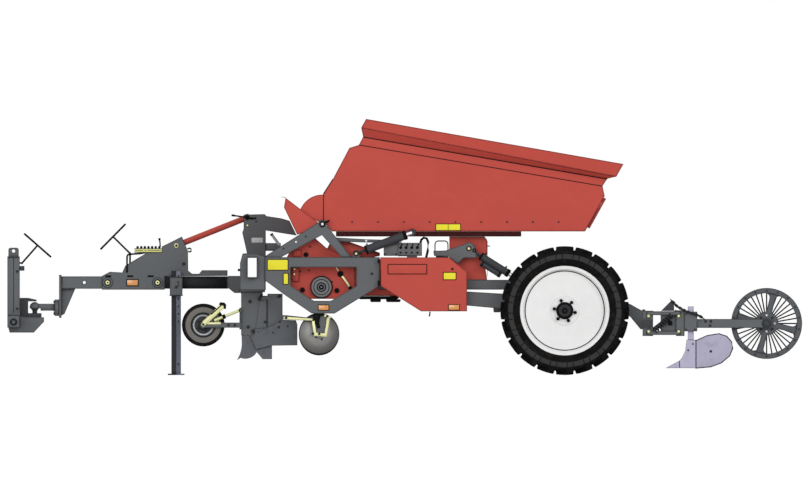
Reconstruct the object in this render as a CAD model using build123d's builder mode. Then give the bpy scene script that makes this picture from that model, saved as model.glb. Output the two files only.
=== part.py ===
from build123d import *
import math
import os

# Trailed belt planter for four rows of potatoes, parked on its jack.
# The front is at -X, the left side at -Y and the floor at Z 0. Millimetres.

# Rows and furrows
row_spacing = 750
row_places = [n * row_spacing for n in (-1.5, -0.5, 0.5, 1.5)]
furrow_places = [n * row_spacing for n in (-2, -1, 0, 1, 2)]
sides = (-1, 1)

# Clearances
seat_gap = 0.3
pin_gap = 0.05
swing_gap = 6

# Headstock for a category 3 three-point linkage
mast_x = -3775
mast_depth = 120
mast_height = 685
lower_pin_z = 512
lower_pin_spread = 965
lower_pin_radius = 18.3
lower_pin_length = 90
top_pin_radius = 15.9
top_ear_gap = 52
top_ear_thickness = 20
post_spread = 320
post_width = 80
crossbar_size = 116

# Ball coupling between headstock and drawbar
ball_x = -3570
ball_z = 655
ball_radius = 40
cup_wall = 10
coupling_shaft_radius = 34
coupling_reach = 234

# Gooseneck and drawbar
beam_size = 120
beam_z = 893
gooseneck_x = ball_x + coupling_reach
gooseneck_plate = 24
drawbar_rear_x = -1704
drawbar_plate = 15
drawbar_front_x = -2922

# Jack
jack_x = -2206
jack_side = 65
jack_wall = 6
jack_height = 1006
jack_hole_radius = 9
jack_holes = [104] + [954 - 73 * n for n in range(7)]
jack_foot_size = 160
jack_foot_thickness = 14
sleeve_size = 122
sleeve_low_z = 764
sleeve_top_z = 950

# Crossbeam and tower
crossbeam_x = -1472
crossbeam_z = 1038
crossbeam_width = 100
crossbeam_height = 200
crossbeam_wall = 8
crossbeam_half = 1490
tower_inner_y = 80
tower_plate = 20
tower_top_z = 1553
brace_radius = 29
brace_pin_radius = 15

# Hopper
pivot_x = -795
pivot_z = 1457
hopper_half = 1360
hopper_wall = 6
hopper_pin_radius = 25
pour_wing_radius = 230
pour_wing_rise = 55
pour_wing_sweep = 74
hopper_floor_z = 1386
hopper_rail_depth = 70
hopper_rail_height = 49

# Side frames, which carry the hopper's pivot
side_frame_inner_y = hopper_half + 20
side_frame_depth = 60
side_frame_top_z = 1138
support_depth = 30
pivot_boss_radius = 42
tray_plate = 8

# Main frame
rail_outer_y = hopper_half - 80
rail_depth = 70
rail_top_z = 919
rail_low_z = 824
cross_tube_size = 100

# Wheel arms
arm_pivot_x = 240
arm_pivot_z = 725
torque_tube_radius = 55
arm_inner_y = rail_outer_y + 25
arm_depth = 65
arm_outer_y = arm_inner_y + arm_depth
spindle_length = 192

# Main wheels
axle_x = 1544
axle_z = 622
tyre_radius = 622
tyre_width = 240
tyre_clearance = 10
wheel_y = arm_outer_y + tyre_clearance + tyre_width / 2
lug_height = 34
lug_pairs = 20
rim_radius = 431
axle_radius = 40
hub_radius = 82
stud_circle_radius = 102.5
stud_turn = 50

# Gauge wheels
gauge_x = -1944
gauge_z = 483
gauge_radius = 207
gauge_width = 100
gauge_axle_radius = 12.5

# Closing discs
disc_x = -826
disc_z = 395
disc_radius = 205
disc_yaw = 18
disc_offset = 190
disc_thickness = 6

# Rear toolbar, ridging bodies and cage rollers
toolbar_x = 2346
toolbar_z = 497
toolbar_size = 80
toolbar_half = 1560
shank_x = 2760
shank_width = 57
shank_thickness = 25
roller_x = 3492
roller_z = 498
roller_radius = 342.5
roller_ring_depth = 51
roller_ring_offset = 320
roller_waist_offset = 40
roller_waist_radius = 106
roller_rods = 36
roller_rod_size = 13
roller_spoke_half = 28
roller_spoke_turn = 13
roller_axle_radius = 20

# Cylinders
tip_low = (-469, 1172)
tip_high = (70, 1374)
tip_y = side_frame_inner_y + side_frame_depth / 2
tip_barrel_radius = 40
tip_rod_radius = 22
tip_barrel_length = 520
lift_high = (619, 1221)
lift_low = (1160, 880)
lift_y = arm_inner_y + 30
lift_barrel_radius = 35
lift_rod_radius = 20
lift_barrel_length = 460
reservoir_radius = 26
reservoir_offset = 56
reservoir_start = 170
reservoir_end = 400
eye_width = 30
eye_radius = 34
cylinder_pin_radius = 15


def side_plane(y):
    """Upright plane at y, with local x along X and local y along Z."""
    return Plane(origin=(0, y, 0), x_dir=(1, 0, 0), z_dir=(0, -1, 0))


def axle_plane(x, y, z):
    """Plane square to a crosswise axle, with its normal along Y."""
    return Plane(origin=(x, y, z), x_dir=(1, 0, 0), z_dir=(0, 1, 0))


def radial_plane(x, y, z):
    """Plane through a crosswise axle, with local x along Y and local y upwards."""
    return Plane(origin=(x, y, z), x_dir=(0, 1, 0), z_dir=(1, 0, 0))


def run_plane(start, end):
    """Plane at the start of a straight run, with its normal along the run."""
    return Plane(origin=start, z_dir=Vector(*end) - Vector(*start))


def run_length(start, end):
    """Length of a straight run."""
    return (Vector(*end) - Vector(*start)).length


def bar_place(start, end):
    """Place half way along a straight bar in a sketch, turned along the bar."""
    turn = math.degrees(math.atan2(end[1] - start[1], end[0] - start[0]))
    return Location(((start[0] + end[0]) / 2, (start[1] + end[1]) / 2), turn)


def box_outline(low_x, high_x, low_z, high_z):
    """Corners of an upright rectangle."""
    return [(low_x, low_z), (high_x, low_z), (high_x, high_z), (low_x, high_z)]


def beam_window():
    """Corners of the opening that the crossbeam passes through."""
    half_x = crossbeam_width / 2 + seat_gap
    half_z = crossbeam_height / 2 + seat_gap
    return box_outline(crossbeam_x - half_x, crossbeam_x + half_x, crossbeam_z - half_z, crossbeam_z + half_z)


# Headstock: lower crossbar, two posts, a top bar and the ears for the top link
mast_front = mast_x - mast_depth / 2
mast_rear = mast_x + mast_depth / 2
crossbar_low = lower_pin_z - crossbar_size / 2 + 5
crossbar_top = crossbar_low + crossbar_size
top_pin_z = lower_pin_z + mast_height
ear_low = top_pin_z - 52
ear_half = mast_depth / 2 - 10
ear_reach = 32
crossbar_half = lower_pin_spread / 2
base_top = 558
base_plate = 26
base_rear_x = -3481
base_half = 90
gusset_plate = 20
with BuildPart() as headstock:
    with Locations((mast_x, 0, (crossbar_low + crossbar_top) / 2)):
        Box(mast_depth, 2 * crossbar_half, crossbar_size)
    for side in sides:
        with BuildSketch(side_plane(side * post_spread / 2)):
            Polygon(*box_outline(mast_front, mast_rear, crossbar_top, ear_low))
        extrude(amount=post_width / 2, both=True)
        with BuildSketch(side_plane(side * (top_ear_gap + top_ear_thickness) / 2)):
            Polygon(
                (mast_x - ear_half, ear_low),
                (mast_x + ear_half, ear_low),
                (mast_x + ear_half, top_pin_z + ear_reach - 14),
                (mast_x + ear_half - 14, top_pin_z + ear_reach),
                (mast_x - ear_half + 14, top_pin_z + ear_reach),
                (mast_x - ear_half, top_pin_z + ear_reach - 14),
            )
            with Locations((mast_x, top_pin_z)):
                Circle(top_pin_radius, mode=Mode.SUBTRACT)
        extrude(amount=top_ear_thickness / 2, both=True)
        with BuildSketch(side_plane(side * (base_half - gusset_plate / 2))):
            Polygon(
                (mast_rear, crossbar_top),
                (-3640, base_top),
                (base_rear_x, base_top),
                (base_rear_x, 515),
                (-3580, 410),
                (-3813, 410),
                (-3826, crossbar_low),
                (mast_rear, crossbar_low),
            )
        extrude(amount=gusset_plate / 2, both=True)
    with Locations((mast_x, 0, ear_low - post_width / 2)):
        Box(mast_depth, post_spread, post_width)
    with Locations(((mast_rear + base_rear_x) / 2, 0, base_top - base_plate / 2)):
        Box(base_rear_x - mast_rear, 2 * base_half, base_plate)
    with Locations(axle_plane(mast_x, 0, lower_pin_z)):
        Cylinder(lower_pin_radius, 2 * (crossbar_half + lower_pin_length))

# Ball on its seat, with the catch that keeps the coupling down
catch_low = ball_z + ball_radius + cup_wall + pin_gap + swing_gap
with BuildPart() as ball_seat:
    with BuildSketch(side_plane(0)):
        Polygon(*box_outline(-3638, -3505, base_top + seat_gap, base_top + 40))
    extrude(amount=66, both=True)
    with Locations((ball_x, 0, base_top + 50)):
        Cylinder(24, 60)
    with Locations((ball_x, 0, ball_z)):
        Sphere(ball_radius)
    with BuildSketch(side_plane(0)):
        Polygon(
            (mast_rear + seat_gap, base_top + seat_gap),
            (-3634, base_top + seat_gap),
            (-3634, catch_low),
            (-3552, catch_low),
            (-3552, catch_low + 16),
            (-3634, catch_low + 34),
            (mast_rear + seat_gap, catch_low + 34),
        )
    extrude(amount=60, both=True)

# Hose carriers: a bent rod with an open ring for hoses, front and rear
ring_radius = 165
ring_wire = 9
ring_bar = 14


def hose_carrier(foot, rise, centre):
    """One hose ring on its rod, as a loose solid."""
    along = Vector(*centre) - Vector(*rise)
    with BuildPart() as carrier:
        with BuildSketch(run_plane(foot, rise)):
            Circle(ring_wire)
        extrude(amount=run_length(foot, rise))
        with Locations(rise):
            Sphere(ring_wire * 1.2)
        with BuildSketch(run_plane(rise, centre)):
            Circle(ring_wire)
        extrude(amount=along.length)
        with BuildSketch(Plane(origin=centre, x_dir=(0, 1, 0), z_dir=along)):
            Rectangle(2 * ring_radius, ring_bar)
        extrude(amount=ring_bar / 2, both=True)
        with Locations(Plane(origin=centre, z_dir=along)):
            Torus(ring_radius, ring_wire)
    return carrier.part


with BuildPart() as hose_carrier_front:
    add(hose_carrier((mast_rear + seat_gap, 0, 1081), (mast_rear + 22, 0, 1081), (-3543, 0, 1252)))

# Gooseneck: cup, shaft, flange, upright plate, gusset and the square beam
beam_half = beam_size / 2
beam_low = beam_z - beam_half
beam_top = beam_z + beam_half
plate_rear = gooseneck_x + gooseneck_plate
cup_outer = ball_radius + seat_gap + cup_wall
with BuildPart() as gooseneck:
    with Locations((ball_x, 0, ball_z)):
        Sphere(cup_outer)
    with BuildSketch(Plane(origin=(ball_x, 0, ball_z), x_dir=(0, 1, 0), z_dir=(1, 0, 0))):
        Circle(coupling_shaft_radius)
    extrude(amount=gooseneck_x - ball_x)
    with BuildSketch(Plane(origin=(gooseneck_x, 0, 650), x_dir=(0, 1, 0), z_dir=(-1, 0, 0))):
        Circle(80)
    extrude(amount=41)
    with Locations((ball_x, 0, ball_z)):
        Sphere(ball_radius + seat_gap, mode=Mode.SUBTRACT)
    with Locations((ball_x, 0, ball_z - 12 - cup_outer / 2)):
        Box(2 * cup_outer + 10, 2 * cup_outer, cup_outer, mode=Mode.SUBTRACT)
    with BuildSketch(side_plane(0)):
        Polygon(*box_outline(gooseneck_x, plate_rear, 552, 967))
    extrude(amount=90, both=True)
    with BuildSketch(side_plane(0)):
        Polygon((plate_rear, beam_low), (-3179, beam_low), (-3284, 589), (plate_rear, 576))
    extrude(amount=10, both=True)
    with BuildSketch(side_plane(0)):
        Polygon(*box_outline(plate_rear, drawbar_rear_x, beam_low, beam_top))
        with Locations((-3092, beam_z)):
            Circle(14, mode=Mode.SUBTRACT)
    extrude(amount=beam_half, both=True)

# Drawbar cheeks either side of the beam, with the brace's ears and the rack's seat
rack_low = 1186
brace_front = (-2204, 1249)
brace_rear = (-1520, 1521)
cheek_inner = beam_half + seat_gap
ear_inner = brace_radius + 1 + seat_gap
with BuildPart() as drawbar_cheeks:
    for side in sides:
        with BuildSketch(side_plane(side * (cheek_inner + drawbar_plate / 2))):
            Polygon(
                (drawbar_front_x, 956),
                (-2847, 997),
                (-2726, 990),
                (-2696, 1057),
                (-2480, rack_low - seat_gap),
                (-2345, rack_low - seat_gap),
                (-2345, 1240),
                (-2150, 1337),
                (-2092, 1195),
                (-2090, 1008),
                (-2052, 978),
                (-1985, 978),
                (-1957, 1012),
                (-1710, 1012),
                (-1710, beam_top + 4),
                (-2317, beam_top),
                (-2317, 824),
                (drawbar_front_x, 824),
            )
            with Locations(brace_front):
                Circle(brace_pin_radius + seat_gap, mode=Mode.SUBTRACT)
        extrude(amount=drawbar_plate / 2, both=True)
        with Locations((brace_front[0], side * (ear_inner + cheek_inner) / 2, brace_front[1])):
            Cylinder(32, cheek_inner - ear_inner, rotation=(90, 0, 0))
            Cylinder(brace_pin_radius + seat_gap, cheek_inner, rotation=(90, 0, 0), mode=Mode.SUBTRACT)
    with Locations((-2670, 0, 1000), (-2400, 0, 1120)):
        Box(60, 2 * cheek_inner, 60)

with BuildPart() as hose_carrier_rear:
    add(hose_carrier((-2651, 0, 1030 + seat_gap), (-2651, 0, 1174), (-2815, 0, 1336)))

# Rack of hose couplers on top of the drawbar
with BuildPart() as coupler_rack:
    with Locations((-2345 - seat_gap - 131, 0, rack_low + 16)):
        Box(262, 150, 32)
    for n in range(7):
        with Locations((-2578 + 35 * n, 0, rack_low + 44)):
            Box(22, 120, 26)

# Jack sleeve, a block with a square hole turned corner-on, and the jack's leg
jack_y = -(cheek_inner + drawbar_plate + seat_gap + sleeve_size / 2)
with BuildPart() as jack_sleeve:
    with BuildSketch(Plane.XY.offset(sleeve_low_z)):
        with Locations((jack_x, (jack_y - sleeve_size / 2 - cheek_inner) / 2)):
            Rectangle(sleeve_size, -(jack_y - sleeve_size / 2) - cheek_inner)
        with Locations((jack_x, jack_y)):
            Rectangle(jack_side + 2 * seat_gap, jack_side + 2 * seat_gap, rotation=45, mode=Mode.SUBTRACT)
    extrude(amount=sleeve_top_z - sleeve_low_z)
with BuildPart() as jack_leg:
    with BuildSketch(Plane.XY):
        with Locations((jack_x, jack_y)):
            Rectangle(jack_foot_size, jack_foot_size)
    extrude(amount=jack_foot_thickness)
    with BuildSketch(Plane.XY.offset(jack_foot_thickness)):
        with Locations((jack_x, jack_y)):
            Rectangle(jack_side, jack_side, rotation=45)
            Rectangle(jack_side - 2 * jack_wall, jack_side - 2 * jack_wall, rotation=45, mode=Mode.SUBTRACT)
    extrude(amount=jack_height - jack_foot_thickness)
    for height in jack_holes:
        with Locations(Plane(origin=(jack_x, jack_y, height), z_dir=(1, -1, 0))):
            Cylinder(jack_hole_radius, 2 * jack_side, mode=Mode.SUBTRACT)

# Brace from the drawbar up to the tower
with BuildPart() as tower_brace:
    with BuildSketch(run_plane((brace_front[0], 0, brace_front[1]), (brace_rear[0], 0, brace_rear[1]))):
        Circle(brace_radius)
    extrude(amount=run_length((*brace_front, 0), (*brace_rear, 0)))
    with Locations(axle_plane(brace_front[0], 0, brace_front[1])):
        Cylinder(brace_radius + 6, 2 * brace_radius + 2)
        Cylinder(brace_pin_radius, 2 * (cheek_inner + drawbar_plate))
    with Locations(axle_plane(brace_rear[0], 0, brace_rear[1])):
        Cylinder(brace_radius + 6, 2 * brace_radius + 2)
        Cylinder(brace_pin_radius, 2 * (tower_inner_y + tower_plate))

# Crossbeam, an open-ended rectangular tube
with BuildPart() as crossbeam:
    with BuildSketch(side_plane(0)):
        with Locations((crossbeam_x, crossbeam_z)):
            Rectangle(crossbeam_width, crossbeam_height)
            Rectangle(crossbeam_width - 2 * crossbeam_wall, crossbeam_height - 2 * crossbeam_wall, mode=Mode.SUBTRACT)
    extrude(amount=crossbeam_half, both=True)

# Feed tray below the hopper's mouth
tray_wall = 5
tray_nose = (-1190, 1717)
tray_lip = (-1150, 1711)
tray_bend = (-1166, 1619)
tray_bottom = (-1038, 1354)
tray_floor_end = (-815, 1425)
tray_rear = (-840, 1476)
tray_outer_y = side_frame_inner_y - seat_gap
with BuildPart() as feed_tray:
    for side in sides:
        with BuildSketch(side_plane(side * (tray_outer_y - tray_plate / 2))):
            Polygon(tray_lip, tray_bend, tray_bottom, tray_floor_end, tray_rear)
        extrude(amount=tray_plate / 2, both=True)
    with BuildSketch(side_plane(0)):
        with BuildLine():
            Polyline(tray_nose, tray_lip, tray_bend, tray_bottom, tray_floor_end)
            offset(amount=tray_wall, side=Side.LEFT)
        make_face()
    extrude(amount=tray_outer_y, both=True)

# Tower on the crossbeam: two cheeks, a filled head and the pivot block of the drawbar
tower_mid = tower_inner_y + tower_plate / 2
arm_slope = (tray_bend[0] - tray_bottom[0]) / (tray_bend[1] - tray_bottom[1])
arm_rear_low = tray_bottom[0] - 8 + arm_slope * (1346 - tray_bottom[1])
arm_rear_high = tray_bottom[0] - 8 + arm_slope * (1489 - tray_bottom[1])
with BuildPart() as tower:
    for side in sides:
        with BuildSketch(side_plane(side * tower_mid)):
            Polygon(
                (-1590, 821),
                (-1590, 1080),
                (-1565, 1172),
                (-1523, 1176),
                (-1568, 1375),
                (-1555, 1410),
                (-1555, 1548),
                (-1351, tower_top_z),
                (-1336, 1535),
                (-1193, 1513),
                (arm_rear_high, 1489),
                (arm_rear_low, 1346),
                (-1341, 1395),
                (-1341, 821),
            )
            Polygon(*beam_window(), mode=Mode.SUBTRACT)
            with Locations(brace_rear):
                Circle(brace_pin_radius + seat_gap, mode=Mode.SUBTRACT)
        extrude(amount=tower_plate / 2, both=True)
    with Locations((-1430, 0, 1470)):
        Box(80, 2 * tower_inner_y, 120)
    with BuildSketch(side_plane(0)):
        Polygon(
            (drawbar_rear_x + seat_gap, 957),
            (-1590, 957),
            (-1590, 792),
            (drawbar_rear_x + 60, 792),
            (drawbar_rear_x + seat_gap, 840),
        )
    extrude(amount=tower_inner_y + tower_plate, both=True)

# Opener legs, clamped round the crossbeam at each row
clamp_front_x = -1590
clamp_rear_x = -1348
leg_half = 40
leg_front_x = -1579
leg_bottom = 383
clamp_plate = 15
with BuildPart() as opener_legs:
    for row in row_places:
        with BuildSketch(side_plane(row)):
            Polygon(
                (clamp_front_x, 800),
                (leg_front_x, 785),
                (leg_front_x, leg_bottom),
                (-1442, leg_bottom),
                (-1369, 800),
                (clamp_rear_x, 821),
                (clamp_rear_x, 900),
                (clamp_front_x, 900),
            )
        extrude(amount=leg_half, both=True)
        for side in sides:
            with BuildSketch(side_plane(row + side * (leg_half + clamp_plate / 2))):
                Polygon(
                    (clamp_front_x, 800),
                    (clamp_front_x, 1080),
                    (-1565, 1165),
                    (-1437, 1172),
                    (clamp_rear_x, 1145),
                    (clamp_rear_x, 800),
                )
                Polygon(*beam_window(), mode=Mode.SUBTRACT)
            extrude(amount=clamp_plate / 2, both=True)

# Opener linkages: two links a side and the upright that carries the shoe
link_plate = 12
link_mid = leg_half + seat_gap + link_plate / 2
carrier_outer = leg_half + seat_gap + link_plate
carrier_front_x = -1325
carrier_rear_x = -1179
# front pin, rear pin of each link
opener_link_pins = [((-1400, 735), (-1215, 759)), ((-1460, 424), (-1215, 461))]
with BuildPart() as opener_linkages:
    for row in row_places:
        for side in sides:
            with BuildSketch(side_plane(row + side * link_mid)):
                Polygon(*box_outline(carrier_front_x, carrier_rear_x, 440, 785))
                for front_pin, rear_pin in opener_link_pins:
                    with Locations(front_pin):
                        Circle(24)
                    with Locations(bar_place(front_pin, rear_pin)):
                        Rectangle(math.dist(front_pin, rear_pin), 40)
            extrude(amount=link_plate / 2, both=True)
        with Locations(((carrier_front_x + carrier_rear_x) / 2, row, 610)):
            Box(90, 2 * link_mid, 230)

# Furrow openers: a curved share in front of a pair of shoe plates
shoe_plate = 8
shoe_inner = carrier_outer + seat_gap
share_half = 32
with BuildPart() as furrow_openers:
    for row in row_places:
        with BuildSketch(side_plane(row)):
            with BuildLine():
                edge = ThreePointArc((-1573, 330), (-1581, 236), (-1621, 143))
                sole = ThreePointArc((-1584, 166), (-1512, 160), (-1428, 221))
                Line(edge @ 1, sole @ 0)
                Polyline(sole @ 1, (-1372, 154), (-1281, 154), (-1281, 300), (-1445, leg_bottom - seat_gap),
                         (-1575, leg_bottom - seat_gap), edge @ 0)
            make_face()
        extrude(amount=share_half, both=True)
        with BuildSketch(side_plane(row)):
            Polygon((-1460, 372), (-1436, 260), (-1284, 290), (-1281, 372))
        extrude(amount=shoe_inner + 1, both=True)
        for side in sides:
            with BuildSketch(side_plane(row + side * (shoe_inner + shoe_plate / 2))):
                Polygon(
                    (-1489, 377),
                    (-1436, 248),
                    (-1284, 284),
                    (-1036, 287),
                    (-1036, 488),
                    (-1050, 529),
                    (-1179, 535),
                )
            extrude(amount=shoe_plate / 2, both=True)

# Gauge wheels in front of the openers, each on a plate arm outboard of it
gauge_arm_plate = 14
gauge_arm_inner = gauge_width / 2 + 20
gauge_mount_plate = 16
gauge_mount_rear = leg_front_x - seat_gap
with BuildPart() as gauge_arms:
    for row in row_places:
        out = math.copysign(1, row)
        arm_mid = row + out * (gauge_arm_inner + gauge_arm_plate / 2)
        with BuildSketch(side_plane(arm_mid)):
            with Locations((gauge_x, gauge_z)):
                Circle(32)
            Polygon(*box_outline(gauge_x, gauge_mount_rear - gauge_mount_plate + 1, 457, 507))
        extrude(amount=gauge_arm_plate / 2, both=True)
        plate_out = gauge_arm_inner + gauge_arm_plate
        with Locations((gauge_mount_rear - gauge_mount_plate / 2, row + out * (plate_out - leg_half) / 2, 545)):
            Box(gauge_mount_plate, plate_out + leg_half, 210)
        with Locations(axle_plane(gauge_x, row + out * (gauge_arm_inner - gauge_width / 2 - 10) / 2, gauge_z)):
            Cylinder(gauge_axle_radius, gauge_arm_inner + gauge_width / 2 + 10)

# Zinc depth links and turnbuckles on the outside of the gauge arms
depth_plate = 8
# lower end, upper end and width of the raised lever, the turnbuckle and the lower bar
depth_bars = [
    ((gauge_x, 506), (-1747, 682), 30),
    ((-1812, 540), (-1588, 628), 24),
    ((gauge_x, 500), (-1775, 500), 22),
]
with BuildPart() as gauge_depth_links:
    for row in row_places:
        out = math.copysign(1, row)
        link_y = row + out * (gauge_arm_inner + gauge_arm_plate + seat_gap + depth_plate / 2)
        with BuildSketch(side_plane(link_y)):
            with Locations((gauge_x, gauge_z + 6), (-1812, 525)):
                Circle(20)
            for low_end, high_end, width in depth_bars:
                with Locations(bar_place(low_end, high_end)):
                    Rectangle(math.dist(low_end, high_end), width)
        extrude(amount=depth_plate / 2, both=True)

gauge_wheels = {}
for number, row in enumerate(row_places, start=1):
    with BuildPart() as gauge_wheel:
        with BuildSketch(radial_plane(gauge_x, row, gauge_z)):
            Polygon(
                (-30, gauge_axle_radius + pin_gap),
                (30, gauge_axle_radius + pin_gap),
                (30, 40),
                (8, 44),
                (8, 100),
                (gauge_width / 2 - 10, 104),
                (gauge_width / 2, 130),
                (gauge_width / 2, 175),
                (gauge_width / 2 - 14, gauge_radius - 6),
                (gauge_width / 2 - 30, gauge_radius),
                (30 - gauge_width / 2, gauge_radius),
                (14 - gauge_width / 2, gauge_radius - 6),
                (-gauge_width / 2, 175),
                (-gauge_width / 2, 130),
                (10 - gauge_width / 2, 104),
                (-8, 100),
                (-8, 44),
                (-30, 40),
            )
        revolve(axis=Axis((gauge_x, row, gauge_z), (0, 1, 0)))
    gauge_wheels[number] = gauge_wheel

# Closing discs, a pair behind each opener, toed in, with their spring bars
bar_z = 552
disc_tube_radius = 17
bar_x = carrier_rear_x + seat_gap + disc_tube_radius
bar_offset = disc_offset + 70
disc_arm_plate = 12
spindle_radius = 12.5


def disc_plane(row, side):
    """Plane of one closing disc, with its normal along the spindle, outwards."""
    turn = math.radians(disc_yaw)
    centre = (disc_x, row + side * disc_offset, disc_z)
    return Plane(origin=centre, x_dir=(math.cos(turn), -side * math.sin(turn), 0), z_dir=(
        math.sin(turn), side * math.cos(turn), 0))


closing_discs = {}
dish_depth = 36
for row_number, row in enumerate(row_places):
    for side in sides:
        plane = disc_plane(row, side)
        with BuildPart() as closing_disc:
            with BuildSketch(Plane(origin=plane.origin, x_dir=plane.z_dir, z_dir=plane.x_dir)):
                Polygon(
                    (dish_depth, spindle_radius + pin_gap),
                    (dish_depth, 60),
                    (dish_depth * 0.72, 120),
                    (0, disc_radius),
                    (-disc_thickness, disc_radius),
                    (dish_depth * 0.72 - disc_thickness, 120),
                    (dish_depth - disc_thickness, 60),
                    (dish_depth - disc_thickness, spindle_radius + pin_gap),
                )
                Polygon(
                    (dish_depth - 1, spindle_radius + pin_gap),
                    (dish_depth + 14, spindle_radius + pin_gap),
                    (dish_depth + 14, 40),
                    (dish_depth - 1, 48),
                )
            revolve(axis=Axis(plane.origin, plane.z_dir))
        closing_discs[2 * row_number + (1 if side < 0 else 2)] = closing_disc

with BuildPart() as disc_arms:
    for row in row_places:
        with Locations(axle_plane(bar_x, row, bar_z + 6)):
            Cylinder(disc_tube_radius, 2 * bar_offset - 2 * seat_gap)
        for side in sides:
            hanger = row + side * (bar_offset + disc_arm_plate / 2)
            plane = disc_plane(row, side)
            with BuildSketch(side_plane(hanger)):
                Polygon(
                    (bar_x - 25, bar_z - 14),
                    (bar_x - 25, bar_z + 26),
                    (bar_x + 20, bar_z + 26),
                    (-885, 550),
                    (-747, 583),
                    (-752, 500),
                    (disc_x + 30, 380),
                    (disc_x - 30, 380),
                    (-880, 522),
                )
            extrude(amount=disc_arm_plate / 2, both=True)
            spindle_start = Vector(plane.origin) + plane.z_dir * (dish_depth - 10)
            with BuildSketch(Plane(origin=spindle_start, z_dir=plane.z_dir)):
                Circle(spindle_radius)
            extrude(amount=(bar_offset - disc_offset) / math.cos(math.radians(disc_yaw)) - dish_depth + 18)

# Side frames: deep plates with one large opening each, welded to the crossbeam's end plates
end_plate_half = 10
side_frame_mid = side_frame_inner_y + side_frame_depth / 2
with BuildPart() as side_frames:
    for side in sides:
        with BuildSketch(side_plane(side * side_frame_mid)):
            Polygon(
                (clamp_rear_x, 912),
                (clamp_rear_x, side_frame_top_z),
                (-241, side_frame_top_z),
                (-241, 861),
                (-677, 594),
                (-898, 594),
                (-1157, 772),
            )
            Polygon(
                (-1102, 1040),
                (-466, 1040),
                (-466, 861),
                (-655, 750),
                (-714, 717),
                (-876, 717),
                (-942, 758),
                (-1098, 861),
                mode=Mode.SUBTRACT,
            )
        extrude(amount=side_frame_depth / 2, both=True)
        with BuildSketch(side_plane(side * side_frame_mid)):
            Polygon(
                (clamp_front_x, 821),
                (clamp_front_x, 1080),
                (-1565, 1165),
                (-1540, 1172),
                (-1437, 1172),
                (clamp_rear_x + 2, 1145),
                (clamp_rear_x + 2, 821),
            )
            Polygon(*beam_window(), mode=Mode.SUBTRACT)
        extrude(amount=end_plate_half, both=True)

# Hopper supports, an A-shaped pair of bars a side that meet at the pivot
support_foot_z = side_frame_top_z + seat_gap
with BuildPart() as hopper_supports:
    for side in sides:
        with BuildSketch(side_plane(side * (side_frame_inner_y + support_depth / 2))):
            Polygon(
                (-1341, support_foot_z),
                (-1341, 1152),
                (-838, 1470),
                (-748, 1440),
                (-515, support_foot_z),
                (-610, support_foot_z),
                (-800, 1350),
                (-1190, support_foot_z),
            )
            with Locations((pivot_x, pivot_z)):
                Circle(pivot_boss_radius)
                Circle(hopper_pin_radius + pin_gap, mode=Mode.SUBTRACT)
        extrude(amount=support_depth / 2, both=True)

# Planting units below the tray: two cheeks, rollers and the drive hub, with a narrower return belt's frame behind
unit_half = 150
cheek = 8
unit_shaft = (-804, 849)
hub_radius_outer = 103
unit_rollers = [((-987, 816), 28), ((-655, 816), 28), ((-950, 1240), 28)]
unit_front = crossbeam_x + crossbeam_width / 2 + seat_gap
return_half = 70
return_plate = 6
return_roller_radius = 45
return_shaft_radius = 16
return_rollers = [(-540, 787), (-105, 787)]
with BuildPart() as planting_units:
    for row in row_places:
        for side in sides:
            with BuildSketch(side_plane(row + side * (unit_half + cheek / 2))):
                Polygon(
                    (unit_front, 960),
                    (unit_front, 1110),
                    (-1150, 1110),
                    (-1045, 1335),
                    (-880, 1335),
                    (-760, 1230),
                    (-480, 1100),
                    (-480, 830),
                    (-560, 735),
                    (-1000, 735),
                    (-1110, 870),
                )
            extrude(amount=cheek / 2, both=True)
            with Locations(axle_plane(unit_shaft[0], row + side * (unit_half + cheek + 12), unit_shaft[1])):
                Cylinder(hub_radius_outer, 26)
            with BuildSketch(side_plane(row + side * (return_half + return_plate / 2))):
                Polygon((-580, 763), (-580, 862), (-120, 862), (-58, 800), (-58, 763))
            extrude(amount=return_plate / 2, both=True)
        for centre, radius in unit_rollers:
            with Locations(axle_plane(centre[0], row, centre[1])):
                Cylinder(radius, 2 * unit_half + 2)
        with Locations(axle_plane(unit_shaft[0], row, unit_shaft[1])):
            Cylinder(60, 2 * unit_half + 2)
        for centre in return_rollers:
            with Locations(axle_plane(centre[0], row, centre[1])):
                Cylinder(return_roller_radius, 2 * return_half + 2)
        with Locations(axle_plane(return_rollers[0][0], row, return_rollers[0][1])):
            Cylinder(return_shaft_radius, 2 * unit_half + 2)

# Side covers, rear housing and the hydraulic box
cover_inner_y = side_frame_inner_y + 20
cover_depth = 90
tube_rear_x = 70
tube_rear_top = 1150
tube_front_x = -300
with BuildPart() as side_covers:
    for side in sides:
        with BuildSketch(side_plane(side * (cover_inner_y + cover_depth / 2))):
            Polygon(
                (-236, side_frame_top_z - 2),
                (428, side_frame_top_z - 2),
                (601, 995),
                (601, 615),
                (157, 615),
                (-231, 859),
            )
        extrude(amount=cover_depth / 2, both=True)

housing_top = hopper_floor_z - hopper_rail_height - 0.5
housing_half = rail_outer_y - 10
with BuildPart() as rear_housing:
    with BuildSketch(side_plane(0)):
        Polygon(
            (430, rail_top_z + seat_gap),
            (430, housing_top),
            (770, housing_top),
            (795, 1305),
            (795, 1170),
            (775, 1050),
            (795, 930),
            (795, rail_top_z + seat_gap),
        )
    extrude(amount=housing_half, both=True)

with BuildPart() as hydraulic_box:
    with BuildSketch(side_plane(-1255)):
        Polygon(*box_outline(-200, 166, tube_rear_top + seat_gap, 1277))
    extrude(amount=100, both=True)

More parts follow.
